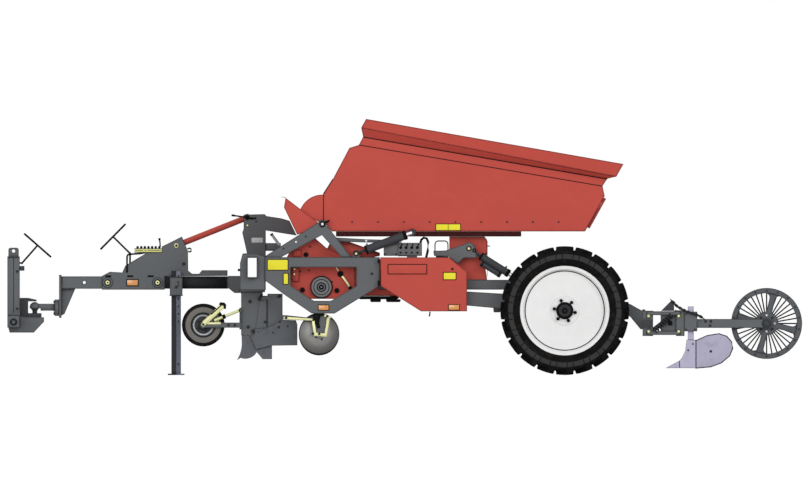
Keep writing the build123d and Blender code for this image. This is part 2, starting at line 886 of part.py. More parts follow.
# Main rails down to the rear toolbar, with posts and the hangers of the torque tube
rail_mid = rail_outer_y - rail_depth / 2
toolbar_front = toolbar_x - toolbar_size / 2
cross_tube_rear = tube_front_x + cross_tube_size / 2
with BuildPart() as main_rails:
    for side in sides:
        with BuildSketch(side_plane(side * rail_mid)):
            Polygon(
                (cross_tube_rear + seat_gap, rail_low_z),
                (cross_tube_rear + seat_gap, rail_top_z),
                (1480, rail_top_z),
                (2174, 686),
                (2295, 619),
                (toolbar_front - seat_gap, 619),
                (toolbar_front - seat_gap, 442),
                (2275, 442),
                (2174, 564),
                (1480, rail_low_z),
            )
            Polygon(*box_outline(tube_rear_x - 50, tube_rear_x + 50, rail_top_z - 10,
                                 tube_rear_top - cross_tube_size - seat_gap))
            Polygon(*box_outline(300, 420, rail_top_z - 10, 1199))
            Polygon(*box_outline(arm_pivot_x - 80, arm_pivot_x + 80, arm_pivot_z - 80, rail_low_z + 10))
            with Locations((arm_pivot_x, arm_pivot_z)):
                Circle(torque_tube_radius + pin_gap, mode=Mode.SUBTRACT)
        extrude(amount=rail_depth / 2, both=True)

with BuildPart() as cross_tubes:
    with Locations((tube_front_x, 0, 920)):
        Box(cross_tube_size, 2 * (side_frame_inner_y - seat_gap), cross_tube_size)
    with Locations((tube_rear_x, 0, tube_rear_top - cross_tube_size / 2)):
        Box(cross_tube_size, 2 * (cover_inner_y - seat_gap), cross_tube_size)

# Brackets of the lift cylinders, outside the posts, and lugs of the tipping cylinders on the side frames
bracket_inner = rail_outer_y + seat_gap
bracket_outer = arm_outer_y
bracket_head_radius = 60
lug_gap_half = eye_width / 2 + 5.3
with BuildPart() as cylinder_brackets:
    for side in sides:
        with BuildSketch(side_plane(side * (bracket_inner + bracket_outer) / 2)):
            Polygon(
                (276, 1199),
                (397, 1203),
                (580, 1266),
                (674, 1240),
                (700, 1131),
                (570, 1131),
                (512, 1073),
                (423, 1141),
                (282, 1151),
            )
            with Locations(lift_high):
                Circle(bracket_head_radius)
        extrude(amount=(bracket_outer - bracket_inner) / 2, both=True)
        with BuildSketch(side_plane(side * lift_y)):
            Polygon(*box_outline(540, 710, 1060, 1290))
        extrude(amount=lug_gap_half, both=True, mode=Mode.SUBTRACT)
        with Locations(axle_plane(lift_high[0], side * (bracket_inner + bracket_outer) / 2, lift_high[1])):
            Cylinder(cylinder_pin_radius, bracket_outer - bracket_inner)
        for inner_y, outer_y in (
            (side_frame_inner_y, tip_y - lug_gap_half),
            (tip_y + lug_gap_half, side_frame_inner_y + side_frame_depth),
        ):
            with BuildSketch(side_plane(side * (inner_y + outer_y) / 2)):
                Polygon((-508, support_foot_z), (-430, support_foot_z), (-442, 1180), (-496, 1180))
                with Locations(tip_low):
                    Circle(27)
            extrude(amount=(outer_y - inner_y) / 2, both=True)
        with Locations(axle_plane(tip_low[0], side * side_frame_mid, tip_low[1])):
            Cylinder(cylinder_pin_radius, side_frame_depth)


# Cylinders: barrel with an eye, a neck and a floor, and a rod with its own eye
barrel_floor = 14
tip_neck = 94
lift_neck = 130
lift_stroke = 138


def cylinder_barrel(low, high, y, radius, rod_radius, length, neck):
    """Barrel of a cylinder from its eye at low towards high, as a loose solid."""
    start = (low[0], y, low[1])
    along = run_plane(start, (high[0], y, high[1]))
    with BuildPart() as barrel:
        with BuildSketch(along.offset(neck)):
            Circle(radius)
        extrude(amount=length - neck)
        with BuildSketch(along.offset(neck + barrel_floor)):
            Circle(rod_radius + pin_gap)
        extrude(amount=length, mode=Mode.SUBTRACT)
        with BuildSketch(along):
            Circle(eye_width / 2 - 1)
        extrude(amount=neck + barrel_floor / 2)
        with Locations(axle_plane(*start)):
            Cylinder(eye_radius, eye_width)
            Cylinder(cylinder_pin_radius + pin_gap, eye_width, mode=Mode.SUBTRACT)
    return barrel.part


def cylinder_rod(low, high, y, radius, inner_end):
    """Rod of a cylinder with the eye at high, its other end inner_end away from low."""
    start = Vector(low[0], y, low[1])
    end = Vector(high[0], y, high[1])
    along = (end - start).normalized()
    with BuildPart() as rod:
        with BuildSketch(Plane(origin=start + along * inner_end, z_dir=along)):
            Circle(radius)
        extrude(amount=(end - start).length - inner_end)
        with Locations(axle_plane(*end)):
            Cylinder(eye_radius, eye_width)
    return rod.part


with BuildPart() as tip_barrels:
    for side in sides:
        add(cylinder_barrel(tip_low, tip_high, side * tip_y, tip_barrel_radius, tip_rod_radius,
                            tip_barrel_length, tip_neck))
with BuildPart() as tip_rods:
    for side in sides:
        add(cylinder_rod(tip_low, tip_high, side * tip_y, tip_rod_radius, tip_neck + barrel_floor + 5))
with BuildPart() as lift_barrels:
    for side in sides:
        add(cylinder_barrel(lift_high, lift_low, side * lift_y, lift_barrel_radius, lift_rod_radius,
                            lift_barrel_length, lift_neck))
        start = Vector(lift_high[0], side * lift_y, lift_high[1])
        along = (Vector(lift_low[0], side * lift_y, lift_low[1]) - start).normalized()
        below = Vector(along.Z, 0, -along.X)
        with BuildSketch(Plane(origin=start + along * reservoir_start + below * reservoir_offset, z_dir=along)):
            Circle(reservoir_radius)
        extrude(amount=reservoir_end - reservoir_start)
with BuildPart() as lift_rods:
    for side in sides:
        add(cylinder_rod(lift_high, lift_low, side * lift_y, lift_rod_radius,
                         lift_neck + barrel_floor + lift_stroke + 5))

# Wheel arms, their torque tube and the spindles
with BuildPart() as wheel_arms:
    for side in sides:
        with BuildSketch(side_plane(side * (arm_inner_y + arm_depth / 2))):
            Polygon(
                (175, 670),
                (175, 780),
                (300, 806),
                (608, 806),
                (941, 786),
                (1060, 780),
                (1130, 905),
                (1190, 905),
                (1230, 765),
                (1560, 700),
                (1620, 650),
                (1610, 580),
                (1540, 545),
                (922, 641),
                (608, 670),
                (300, 655),
            )
        extrude(amount=arm_depth / 2, both=True)
        with BuildSketch(side_plane(side * lift_y)):
            Polygon(*box_outline(1040, 1240, 835, 960))
        extrude(amount=lug_gap_half, both=True, mode=Mode.SUBTRACT)
        with Locations(axle_plane(axle_x, side * (arm_outer_y + spindle_length / 2 - 1), axle_z)):
            Cylinder(axle_radius, spindle_length)
    with Locations(axle_plane(arm_pivot_x, 0, arm_pivot_z)):
        Cylinder(torque_tube_radius, 2 * (arm_inner_y - seat_gap))

# Main wheels, built once about a standing axis with the outer face upwards
tread_radius = tyre_radius - lug_height
tyre_half = tyre_width / 2
bead_radius = rim_radius + seat_gap
with BuildPart() as lug_form:
    with BuildSketch(Plane(origin=(tread_radius - 22, 0, 0), x_dir=(0, 1, 0), z_dir=(1, 0, 0))):
        Polygon((-84, -8), (-46, -14), (84, 92), (82, 118), (30, 118))
    extrude(amount=lug_height + 30)
    Cylinder(tyre_radius, 2 * tyre_width, mode=Mode.INTERSECT)
with BuildPart() as tyre_form:
    with BuildSketch(Plane.XZ):
        Polygon(
            (bead_radius, -95),
            (480, -114),
            (530, -tyre_half),
            (572, -110),
            (tread_radius, -60),
            (tread_radius, 60),
            (572, 110),
            (530, tyre_half),
            (480, 114),
            (bead_radius, 95),
        )
    revolve(axis=Axis.Z)
    with PolarLocations(0, lug_pairs):
        add(lug_form.part)
        add(mirror(lug_form.part, about=Plane.XY, mode=Mode.PRIVATE))
with BuildPart() as rim_form:
    with BuildSketch(Plane.XZ):
        Polygon(
            (rim_radius, -100),
            (rim_radius, -92),
            (409, -84),
            (409, 84),
            (rim_radius, 92),
            (rim_radius, 100),
            (400, 92),
            (400, 44),
            (140, 44),
            (140, 52),
            (hub_radius, 52),
            (hub_radius, 78),
            (0, 78),
            (0, 70),
            (axle_radius + pin_gap, 70),
            (axle_radius + pin_gap, -60),
            (hub_radius - 10, -60),
            (hub_radius - 10, 34),
            (400, 34),
            (400, -92),
        )
    revolve(axis=Axis.Z)
    with PolarLocations(stud_circle_radius, 6, start_angle=stud_turn):
        with Locations((0, 0, 62)):
            Cylinder(12, 24)


def wheel_side_plane(side):
    """Plane through a main wheel's middle, its normal pointing outwards."""
    return Plane(origin=(axle_x, side * wheel_y, axle_z), x_dir=(1, 0, 0), z_dir=(0, side, 0))


wheels = {}
for side, word in zip(sides, ("left", "right")):
    with BuildPart() as tyre:
        with Locations(wheel_side_plane(side)):
            add(tyre_form.part)
    with BuildPart() as rim:
        with Locations(wheel_side_plane(side)):
            add(rim_form.part)
    wheels[word] = (tyre, rim)

# Rear toolbar and the linkages of the five ridging bodies
with BuildPart() as rear_toolbar:
    with Locations((toolbar_x, 0, toolbar_z)):
        Box(toolbar_size, 2 * toolbar_half, toolbar_size)

linkage_half = 35
stop_plate = 24
toolbar_window = toolbar_size / 2 + seat_gap
clamp_half = 45
clamp_rear = 2823
with BuildPart() as ridger_linkages:
    for place in furrow_places:
        with BuildSketch(side_plane(place)):
            Polygon(*box_outline(2295, 2397, 377, 621))
            Polygon(*box_outline(toolbar_x - toolbar_window, toolbar_x + toolbar_window,
                                 toolbar_z - toolbar_window, toolbar_z + toolbar_window), mode=Mode.SUBTRACT)
            Polygon(*box_outline(2618, 2700, 377, 625))
        extrude(amount=linkage_half, both=True)
        for side in sides:
            with BuildSketch(side_plane(place + side * (linkage_half + link_plate / 2))):
                for height in (406, 597):
                    with Locations((2497, height)):
                        SlotOverall(330, 38)
            extrude(amount=link_plate / 2, both=True)
        with BuildSketch(run_plane((2385, place, 425), (2630, place, 615))):
            Circle(22)
        extrude(amount=run_length((2385, place, 425), (2630, place, 615)))
        with BuildSketch(side_plane(place)):
            Polygon(*box_outline(2469, 2619, 422, 592))
        extrude(amount=stop_plate / 2, both=True)
        with BuildSketch(side_plane(place)):
            Polygon(*box_outline(2699, clamp_rear, 422, 612))
        extrude(amount=clamp_half, both=True)
        with Locations((shank_x, place, 517)):
            Box(shank_width + 2 * seat_gap, shank_thickness + 2 * seat_gap, 240, mode=Mode.SUBTRACT)

# Ridging bodies: shank, pointed share and a pair of swept wings
wing_root_x = 2806
wing_yaw = 20
wing_plate = 8
frog_half = 22
with BuildPart() as ridger_bodies:
    for place in furrow_places:
        with Locations((shank_x, place, 500)):
            Box(shank_width, shank_thickness, 324)
        with BuildSketch(side_plane(place)):
            Polygon(
                (2719, 341),
                (2708, 239),
                (2674, 165),
                (2647, 137),
                (2515, 67),
                (wing_root_x + 10, 67),
                (wing_root_x + 10, 340),
            )
        extrude(amount=frog_half, both=True)
        for side in sides:
            turn = math.radians(wing_yaw)
            wing_plane = Plane(
                origin=(wing_root_x, place + side * (frog_half - 4), 0),
                x_dir=(math.cos(turn), side * math.sin(turn), 0),
                z_dir=(side * math.sin(turn), -math.cos(turn), 0),
            )
            with BuildSketch(wing_plane):
                Polygon(*[
                    ((x - wing_root_x) / math.cos(turn), z)
                    for x, z in (
                        (wing_root_x, 330),
                        (2919, 381),
                        (3033, 399),
                        (3108, 374),
                        (3155, 320),
                        (3166, 260),
                        (3135, 185),
                        (3054, 117),
                        (2953, 80),
                        (wing_root_x, 67),
                    )
                ])
            extrude(amount=wing_plate / 2, both=True)

# Roller arms behind the ridging bodies
roller_arm_half = 25
with BuildPart() as roller_arms:
    for place in furrow_places:
        with BuildSketch(side_plane(place)):
            Polygon(*box_outline(clamp_rear + seat_gap, 3538, 455, 541))
            with Locations((roller_x, roller_z)):
                Circle(roller_axle_radius + pin_gap, mode=Mode.SUBTRACT)
        extrude(amount=roller_arm_half, both=True)

# Cage rollers: two cones of rods that meet at a waist over the ridge
axle_half = row_spacing / 2 - roller_arm_half + 18
ring_depth = 20
rod_start = Vector(roller_radius - 28, 0, roller_ring_offset)
rod_end = Vector(roller_waist_radius - 6, 0, roller_waist_offset)
ring_inner_radius = roller_radius - roller_ring_depth
roller_hub_radius = 115
with BuildPart() as rod_form:
    with BuildSketch(Plane(origin=rod_start, z_dir=rod_end - rod_start)):
        Rectangle(roller_rod_size, roller_rod_size)
    extrude(amount=(rod_end - rod_start).length)
with BuildSketch() as opening_form:
    with BuildLine():
        far_turn = math.degrees(math.asin(roller_spoke_half / ring_inner_radius))
        near_turn = math.degrees(math.asin(roller_spoke_half / roller_hub_radius))
        far = CenterArc((0, 0), ring_inner_radius, far_turn, 90 - 2 * far_turn)
        near = CenterArc((0, 0), roller_hub_radius, near_turn, 90 - 2 * near_turn)
        Line(far @ 0, near @ 0)
        Line(far @ 1, near @ 1)
    make_face()
    fillet(opening_form.vertices().sort_by_distance((0, 0, 0))[2:], radius=40)
with BuildPart() as cone_form:
    with BuildSketch(Plane.XY.offset(roller_ring_offset - ring_depth / 2)):
        Circle(roller_radius)
        with PolarLocations(0, 4, start_angle=roller_spoke_turn):
            add(opening_form.sketch, mode=Mode.SUBTRACT)
    extrude(amount=ring_depth / 2)
    with BuildSketch(Plane.XY.offset(roller_ring_offset)):
        Circle(roller_radius)
        Circle(ring_inner_radius, mode=Mode.SUBTRACT)
    extrude(amount=ring_depth / 2)
    with BuildSketch(Plane.XY.offset(roller_waist_offset - 6)):
        Circle(roller_waist_radius)
    extrude(amount=12)
    with PolarLocations(0, roller_rods):
        add(rod_form.part)
with BuildPart() as roller_form:
    Cylinder(roller_axle_radius, 2 * axle_half)
    add(cone_form.part)
    add(mirror(cone_form.part, about=Plane.XY, mode=Mode.PRIVATE))
cage_rollers = {}
for number, row in enumerate(row_places, start=1):
    with BuildPart() as cage_roller:
        with Locations(axle_plane(roller_x, row, roller_z)):
            add(roller_form.part)
    cage_rollers[number] = cage_roller

# Hopper: folded side walls, a sloping rim and the wings that pour into the tray
fold_low = [(-443, 2221), (1909, 1823)]
# front end, rear end and half width of each line of the rim, from the upper fold upwards
rim_lines = [
    ((-402, 2300), (1954, 1894), hopper_half),
    ((-420, 2388), (2043, 1916), hopper_half + 78),
    ((-373, 2472), (2111, 2037), hopper_half + 100),
]
hopper_outline = [
    (-784, 1486),
    (-784, 1753),
    (-693, 1893),
    (-535, 2192),
    fold_low[0],
    rim_lines[0][0],
    rim_lines[0][1],
    fold_low[1],
    (1930, 1728),
    (1740, hopper_floor_z),
    (-705, hopper_floor_z),
]


def rim_plane(front, rear):
    """Sloping plane through one line of the rim."""
    run_x = rear[0] - front[0]
    run_z = rear[1] - front[1]
    middle = ((front[0] + rear[0]) / 2, 0, (front[1] + rear[1]) / 2)
    return Plane(origin=middle, x_dir=(run_x, 0, run_z), z_dir=(-run_z, 0, run_x))


with BuildPart() as hopper:
    with BuildSketch(side_plane(0)):
        Polygon(*hopper_outline)
    extrude(amount=hopper_half, both=True)
    with BuildSketch(side_plane(0)):
        Polygon(*hopper_outline)
        offset(amount=-hopper_wall, kind=Kind.INTERSECTION, mode=Mode.REPLACE)
    extrude(amount=hopper_half - hopper_wall, both=True, mode=Mode.SUBTRACT)
    with BuildSketch(side_plane(0)):
        Polygon(*box_outline(-800, -770, 1495, 1745))
        Polygon((-394, 2280), (-380, 2320), (1970, 1915), (1944, 1880))
    extrude(amount=hopper_half - hopper_wall, both=True, mode=Mode.SUBTRACT)
    for inset, mode in ((0, Mode.ADD), (hopper_wall, Mode.SUBTRACT)):
        for lower, upper in zip(rim_lines, rim_lines[1:]):
            for front, rear, half in (lower, upper):
                with BuildSketch(rim_plane(front, rear)):
                    Rectangle(math.dist(front, rear) - 2 * inset, 2 * (half - inset))
            loft(ruled=True, mode=mode)
    for side in sides:
        with BuildSketch(side_plane(side * (hopper_half - hopper_wall / 2))):
            with BuildLine():
                arc = CenterArc((pivot_x, pivot_z + pour_wing_rise), pour_wing_radius, 90, pour_wing_sweep)
                Polyline(arc @ 1, (pivot_x, pivot_z), (pivot_x + 30, pivot_z), (pivot_x + 30, (arc @ 0).Y), arc @ 0)
            make_face()
            with Locations((pivot_x, pivot_z)):
                Circle(32)
        extrude(amount=hopper_wall / 2, both=True)
        with Locations(axle_plane(pivot_x, side * (hopper_half + support_depth / 2 + 10), pivot_z)):
            Cylinder(hopper_pin_radius, support_depth + 24)
        with Locations(axle_plane(tip_high[0], side * (hopper_half + 12), tip_high[1])):
            Cylinder(34, 24)

# Rails and crossmembers below the hopper's floor
rail_bottom = hopper_floor_z - hopper_rail_height
with BuildPart() as hopper_rails:
    for side in sides:
        with BuildSketch(side_plane(side * (hopper_half - hopper_rail_depth / 2))):
            Polygon(*box_outline(-664, 1124, rail_bottom, hopper_floor_z - seat_gap))
        extrude(amount=hopper_rail_depth / 2, both=True)
    for place in (500, 700):
        with Locations((place, 0, (rail_bottom + hopper_floor_z - seat_gap) / 2)):
            Box(60, 2 * (hopper_half - hopper_rail_depth - seat_gap), hopper_rail_height - seat_gap)

pieces = {
    "headstock": headstock,
    "ball_seat": ball_seat,
    "hose_carrier_front": hose_carrier_front,
    "gooseneck": gooseneck,
    "drawbar_cheeks": drawbar_cheeks,
    "hose_carrier_rear": hose_carrier_rear,
    "coupler_rack": coupler_rack,
    "jack_sleeve": jack_sleeve,
    "jack_leg": jack_leg,
    "tower_brace": tower_brace,
    "tower": tower,
    "crossbeam": crossbeam,
    "opener_legs": opener_legs,
    "opener_linkages": opener_linkages,
    "furrow_openers": furrow_openers,
    "gauge_arms": gauge_arms,
    "gauge_depth_links": gauge_depth_links,
    "disc_arms": disc_arms,
    "side_frames": side_frames,
    "hopper_supports": hopper_supports,
    "feed_tray": feed_tray,
    "planting_units": planting_units,
    "side_covers": side_covers,
    "rear_housing": rear_housing,
    "hydraulic_box": hydraulic_box,
    "main_rails": main_rails,
    "cross_tubes": cross_tubes,
    "cylinder_brackets": cylinder_brackets,
    "tip_barrels": tip_barrels,
    "tip_rods": tip_rods,
    "lift_barrels": lift_barrels,
    "lift_rods": lift_rods,
    "wheel_arms": wheel_arms,
    "rear_toolbar": rear_toolbar,
    "ridger_linkages": ridger_linkages,
    "ridger_bodies": ridger_bodies,
    "roller_arms": roller_arms,
    "hopper": hopper,
    "hopper_rails": hopper_rails,
}
for word, (tyre, rim) in wheels.items():
    pieces[f"tyre_{word}"] = tyre
    pieces[f"rim_{word}"] = rim
for number, piece in gauge_wheels.items():
    pieces[f"gauge_wheel_{number}"] = piece
for number, piece in closing_discs.items():
    pieces[f"closing_disc_{number}"] = piece
for number, piece in cage_rollers.items():
    pieces[f"cage_roller_{number}"] = piece

os.makedirs("parts", exist_ok=True)
for name, piece in pieces.items():
    piece.part.label = name
    export_step(piece.part, f"parts/{name}.step")
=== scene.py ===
"""Dresses the trailed belt potato planter: finishes, fittings, treads, floor, lamps and camera."""

import logging
import math
from dataclasses import dataclass, field
from enum import Enum

import bmesh
import bpy
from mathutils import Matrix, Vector


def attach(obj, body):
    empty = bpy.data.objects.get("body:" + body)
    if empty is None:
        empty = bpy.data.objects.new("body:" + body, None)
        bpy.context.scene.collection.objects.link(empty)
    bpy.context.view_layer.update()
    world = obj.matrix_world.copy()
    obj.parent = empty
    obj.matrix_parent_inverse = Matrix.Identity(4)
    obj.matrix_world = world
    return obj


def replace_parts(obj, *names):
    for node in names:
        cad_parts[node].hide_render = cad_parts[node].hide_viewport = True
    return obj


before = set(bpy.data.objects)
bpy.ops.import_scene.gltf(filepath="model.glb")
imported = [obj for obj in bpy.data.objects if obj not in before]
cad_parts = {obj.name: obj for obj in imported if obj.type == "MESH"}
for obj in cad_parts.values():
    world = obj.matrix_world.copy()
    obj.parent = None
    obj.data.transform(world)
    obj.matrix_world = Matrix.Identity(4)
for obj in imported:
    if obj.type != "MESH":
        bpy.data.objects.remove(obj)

log = logging.getLogger("planter")

Point = tuple[float, float, float]
Flat = tuple[float, float]
Colour = tuple[float, float, float, float]

MM = 0.001
SIDES = (-1, 1)
SIDE_WORDS = {-1: "left", 1: "right"}
ROWS = (-1125, -375, 375, 1125)
FURROWS = (-1500, -750, 0, 750, 1500)
ACROSS = Vector((0, 1, 0))


def srgb(red: float, green: float, blue: float) -> Colour:
    """Linear colour of a screen colour.

    Args:
        red: red from 0 to 255.
        green: green from 0 to 255.
        blue: blue from 0 to 255.

    Returns:
        The colour in linear light, with full alpha.
    """
    linear = [((part / 255 + 0.055) / 1.055) ** 2.4 for part in (red, green, blue)]
    return (*linear, 1.0)


class Value:
    """A number in a finish's node tree, on which plain arithmetic adds Math nodes."""

    def __init__(self, sheet: "Sheet", socket: bpy.types.NodeSocket) -> None:
        """Keeps the socket and the tree that it belongs to."""
        self.sheet = sheet
        self.socket = socket

    def _maths(self, operation: str, *parts: "Value | float") -> "Value":
        """Adds one Math node."""
        node = self.sheet.node("ShaderNodeMath", dict(enumerate(parts)), operation=operation)
        return Value(self.sheet, node.outputs[0])

    def __add__(self, other: "Value | float") -> "Value":
        """self + other."""
        return self._maths("ADD", self, other)

    __radd__ = __add__

    def __sub__(self, other: "Value | float") -> "Value":
        """self - other."""
        return self._maths("SUBTRACT", self, other)

    def __rsub__(self, other: "Value | float") -> "Value":
        """other - self."""
        return self._maths("SUBTRACT", other, self)

    def __mul__(self, other: "Value | float") -> "Value":
        """self * other."""
        return self._maths("MULTIPLY", self, other)

    __rmul__ = __mul__

    def __abs__(self) -> "Value":
        """The number without its sign."""
        return self._maths("ABSOLUTE", self)

    def ramp(self, low: float, high: float) -> "Value":
        """Smooth step of the number.

        Args:
            low: where the result is 0.
            high: where the result is 1.

        Returns:
            A number from 0 to 1.
        """
        values = {0: self, 1: low, 2: high, 3: 0.0, 4: 1.0}
        node = self.sheet.node("ShaderNodeMapRange", values, interpolation_type="SMOOTHSTEP")
        return Value(self.sheet, node.outputs[0])


def add_node(tree: bpy.types.NodeTree, kind: str, values: dict | None = None,
             **settings: object) -> bpy.types.Node:
    """Adds a node to a tree.

    Args:
        tree: the tree that takes the node.
        kind: the node's type.
        values: numbers, colours or links of its inputs, by name or number.
        **settings: its properties, which are set first.

    Returns:
        The new node.
    """
    made = tree.nodes.new(kind)
    for key, value in settings.items():
        setattr(made, key, value)
    for key, value in (values or {}).items():
        if isinstance(value, Value):
            value = value.socket
        if isinstance(value, bpy.types.NodeSocket):
            tree.links.new(value, made.inputs[key])
        else:
            made.inputs[key].default_value = value
    return made


def put(name: str, data: bpy.types.ID) -> bpy.types.Object:
    """Puts a mesh, a lamp or a camera into the scene.

    Args:
        name: the object's name.
        data: what the object shows.

    Returns:
        The new object.
    """
    made = bpy.data.objects.new(name, data)
    bpy.context.scene.collection.objects.link(made)
    return made


class Sheet:
    """The node tree of one finish."""

    def __init__(self, name: str) -> None:
        """Starts an empty tree.

        Args:
            name: the material's name.
        """
        self.material = bpy.data.materials.new(name)
        self.material.use_nodes = True
        self.tree = self.material.node_tree
        self.tree.nodes.clear()
        self.place = self.node("ShaderNodeTexCoord").outputs["Object"]

    def node(self, kind: str, values: dict | None = None, **settings: object) -> bpy.types.Node:
        """Adds a node, as add_node does."""
        return add_node(self.tree, kind, values, **settings)

    def noise(self, scale: float, detail: float = 3.0, stretch: Point = (1, 1, 1)) -> Value:
        """Cloudy pattern in metres of the part's own space.

        Args:
            scale: features a metre.
            detail: octaves.
            stretch: scale of each axis.

        Returns:
            A number around 0.5.
        """
        place = self.node("ShaderNodeMapping", {"Vector": self.place, "Scale": stretch}).outputs[0]
        node = self.node("ShaderNodeTexNoise", {"Vector": place, "Scale": scale, "Detail": detail})
        return Value(self, node.outputs["Fac"])

    def cells(self, scale: float) -> Value:
        """Distance to the nearest of scattered points."""
        node = self.node("ShaderNodeTexVoronoi", {"Vector": self.place, "Scale": scale})
        return Value(self, node.outputs["Distance"])

    def part(self, vector: bpy.types.NodeSocket, axis: str) -> Value:
        """One axis of a vector."""
        return Value(self, self.node("ShaderNodeSeparateXYZ", {0: vector}).outputs[axis])

    def from_axle(self, x: float, z: float) -> Value:
        """Distance from a crosswise axle at (x, z), in metres.

        Args:
            x: the axle's x in metres.
            z: the axle's z in metres.

        Returns:
            The distance in metres.
        """
        flat = self.node("ShaderNodeVectorMath", {0: self.place, 1: (1, 0, 1)},
                         operation="MULTIPLY").outputs[0]
        node = self.node("ShaderNodeVectorMath", {0: flat, 1: (x, 0, z)}, operation="DISTANCE")
        return Value(self, node.outputs["Value"])

    def edges(self, width: float) -> Value:
        """Mask of the outer and inner edges.

        Args:
            width: how far the mask reaches from an edge, in metres.

        Returns:
            1 on an edge and 0 away from it.
        """
        rounded = self.node("ShaderNodeBevel", {"Radius": width}, samples=4).outputs["Normal"]
        plain = self.node("ShaderNodeNewGeometry").outputs["Normal"]
        dot = self.node("ShaderNodeVectorMath", {0: rounded, 1: plain}, operation="DOT_PRODUCT")
        return (1 - Value(self, dot.outputs["Value"])).ramp(0.004, 0.05)

    def upward(self) -> Value:
        """How far a face looks up, from -1 to 1."""
        return self.part(self.node("ShaderNodeNewGeometry").outputs["Normal"], "Z")

    def blend(self, factor: "Value | float", first: object, second: object) -> bpy.types.NodeSocket:
        """Mixes two colours.

        Args:
            factor: 0 gives the first and 1 the second.
            first: a colour or a colour's socket.
            second: a colour or a colour's socket.

        Returns:
            The mixed colour's socket.
        """
        node = self.node("ShaderNodeMix", {0: factor, 6: first, 7: second}, data_type="RGBA")
        return node.outputs[2]

    def bump(self, height: Value, depth: float, strength: float = 1.0) -> bpy.types.NodeSocket:
        """Normal of a bumpy surface, depth in metres."""
        values = {"Height": height, "Distance": depth, "Strength": strength}
        return self.node("ShaderNodeBump", values).outputs[0]

    def close(self, **values: object) -> bpy.types.Material:
        """Ends the tree in a Principled shader.

        Args:
            **values: its inputs, with _ for each space.

        Returns:
            The finished material.
        """
        named = {key.replace("_", " "): value for key, value in values.items()}
        shader = self.node("ShaderNodeBsdfPrincipled", named)
        self.node("ShaderNodeOutputMaterial", {"Surface": shader.outputs[0]})
        return self.material


DUST = srgb(150, 134, 112)
PRIMER = srgb(22, 22, 23)


@dataclass(frozen=True)
class Paint:
    """Sprayed paint with dark worn edges, faint orange peel and a little settled dust."""

    colour: Colour
    slot: str
    gloss: float = 0.42
    wear: float = 1.0
    dust: float = 0.12
    edge: float = 0.018

    def build(self, name: str) -> bpy.types.Material:
        """Makes the material.

        Args:
            name: the material's name.

        Returns:
            The new material.
        """
        sheet = Sheet(name)
        patch = sheet.noise(9, 5)
        return self.spray(sheet, self.colour, patch)

    def spray(self, sheet: Sheet, colour: object, patch: Value) -> bpy.types.Material:
        """Ends a sheet as this paint.

        Args:
            sheet: the sheet to end.
            colour: a colour or a colour's socket.
            patch: a patchy pattern.

        Returns:
            The finished material.
        """
        cloud = sheet.noise(1.7, 4)
        shade = sheet.blend(0.07, colour, (0, 0, 0, 1))
        tone = sheet.blend(cloud.ramp(0.3, 0.7) * 0.6 + patch.ramp(0.35, 0.75) * 0.4, shade, colour)
        worn = sheet.edges(self.edge) * (0.8 + 0.2 * patch.ramp(0.35, 0.6)) * self.wear
        tone = sheet.blend(worn, tone, PRIMER)
        lying = sheet.upward().ramp(0.55, 1.0) * sheet.noise(4, 5).ramp(0.35, 0.75)
        low = 1 - sheet.part(sheet.place, "Z").ramp(0.05, 0.6)
        soiled = (lying + low * sheet.noise(14, 6).ramp(0.5, 0.78)) * self.dust
        tone = sheet.blend(soiled, tone, DUST)
        rough = self.gloss + patch * 0.12 + soiled * 0.5 + worn * 0.15
        peel = sheet.noise(260, 2)
        return sheet.close(
            Base_Color=tone, Roughness=rough, Normal=sheet.bump(peel, 0.0003, 0.35), Coat_Weight=0.02,
            Specular_IOR_Level=0.1,
        )


@dataclass(frozen=True)
class CagePaint(Paint):
    """Paint of a cage roller: black rods between grey rings, which lie far from the row's middle."""

    rods: Colour = (0, 0, 0, 1)
    spacing: float = 0.75
    ring: float = 0.306

    def build(self, name: str) -> bpy.types.Material:
        """Makes the material.

        Args:
            name: the material's name.

        Returns:
            The new material.
        """
        sheet = Sheet(name)
        across = abs(sheet.part(sheet.place, "Y"))
        offset = abs(abs(across - self.spacing) - self.spacing / 2)
        tone = sheet.blend(offset.ramp(self.ring, self.ring + 0.003), self.rods, self.colour)
        return self.spray(sheet, tone, sheet.noise(9, 5))


@dataclass(frozen=True)
class LegPaint(Paint):
    """Paint of the jack's leg with painted light and shade: the face before its corner takes a painted shade
    and the face behind it a pale painted light, as if lit from the right.
    """

    painted_shade: Colour = (0, 0, 0, 1)
    corner: float = -2.206

    def build(self, name: str) -> bpy.types.Material:
        """Makes the material.

        Args:
            name: the material's name.

        Returns:
            The new material.
        """
        sheet = Sheet(name)
        # painted light and shade: faces before the corner take the shade colour, faces behind it the pale lit
        # colour
        behind = sheet.part(sheet.place, "X").ramp(self.corner - 0.001, self.corner + 0.001)
        return self.spray(sheet, sheet.blend(behind, self.painted_shade, self.colour), sheet.noise(9, 5))


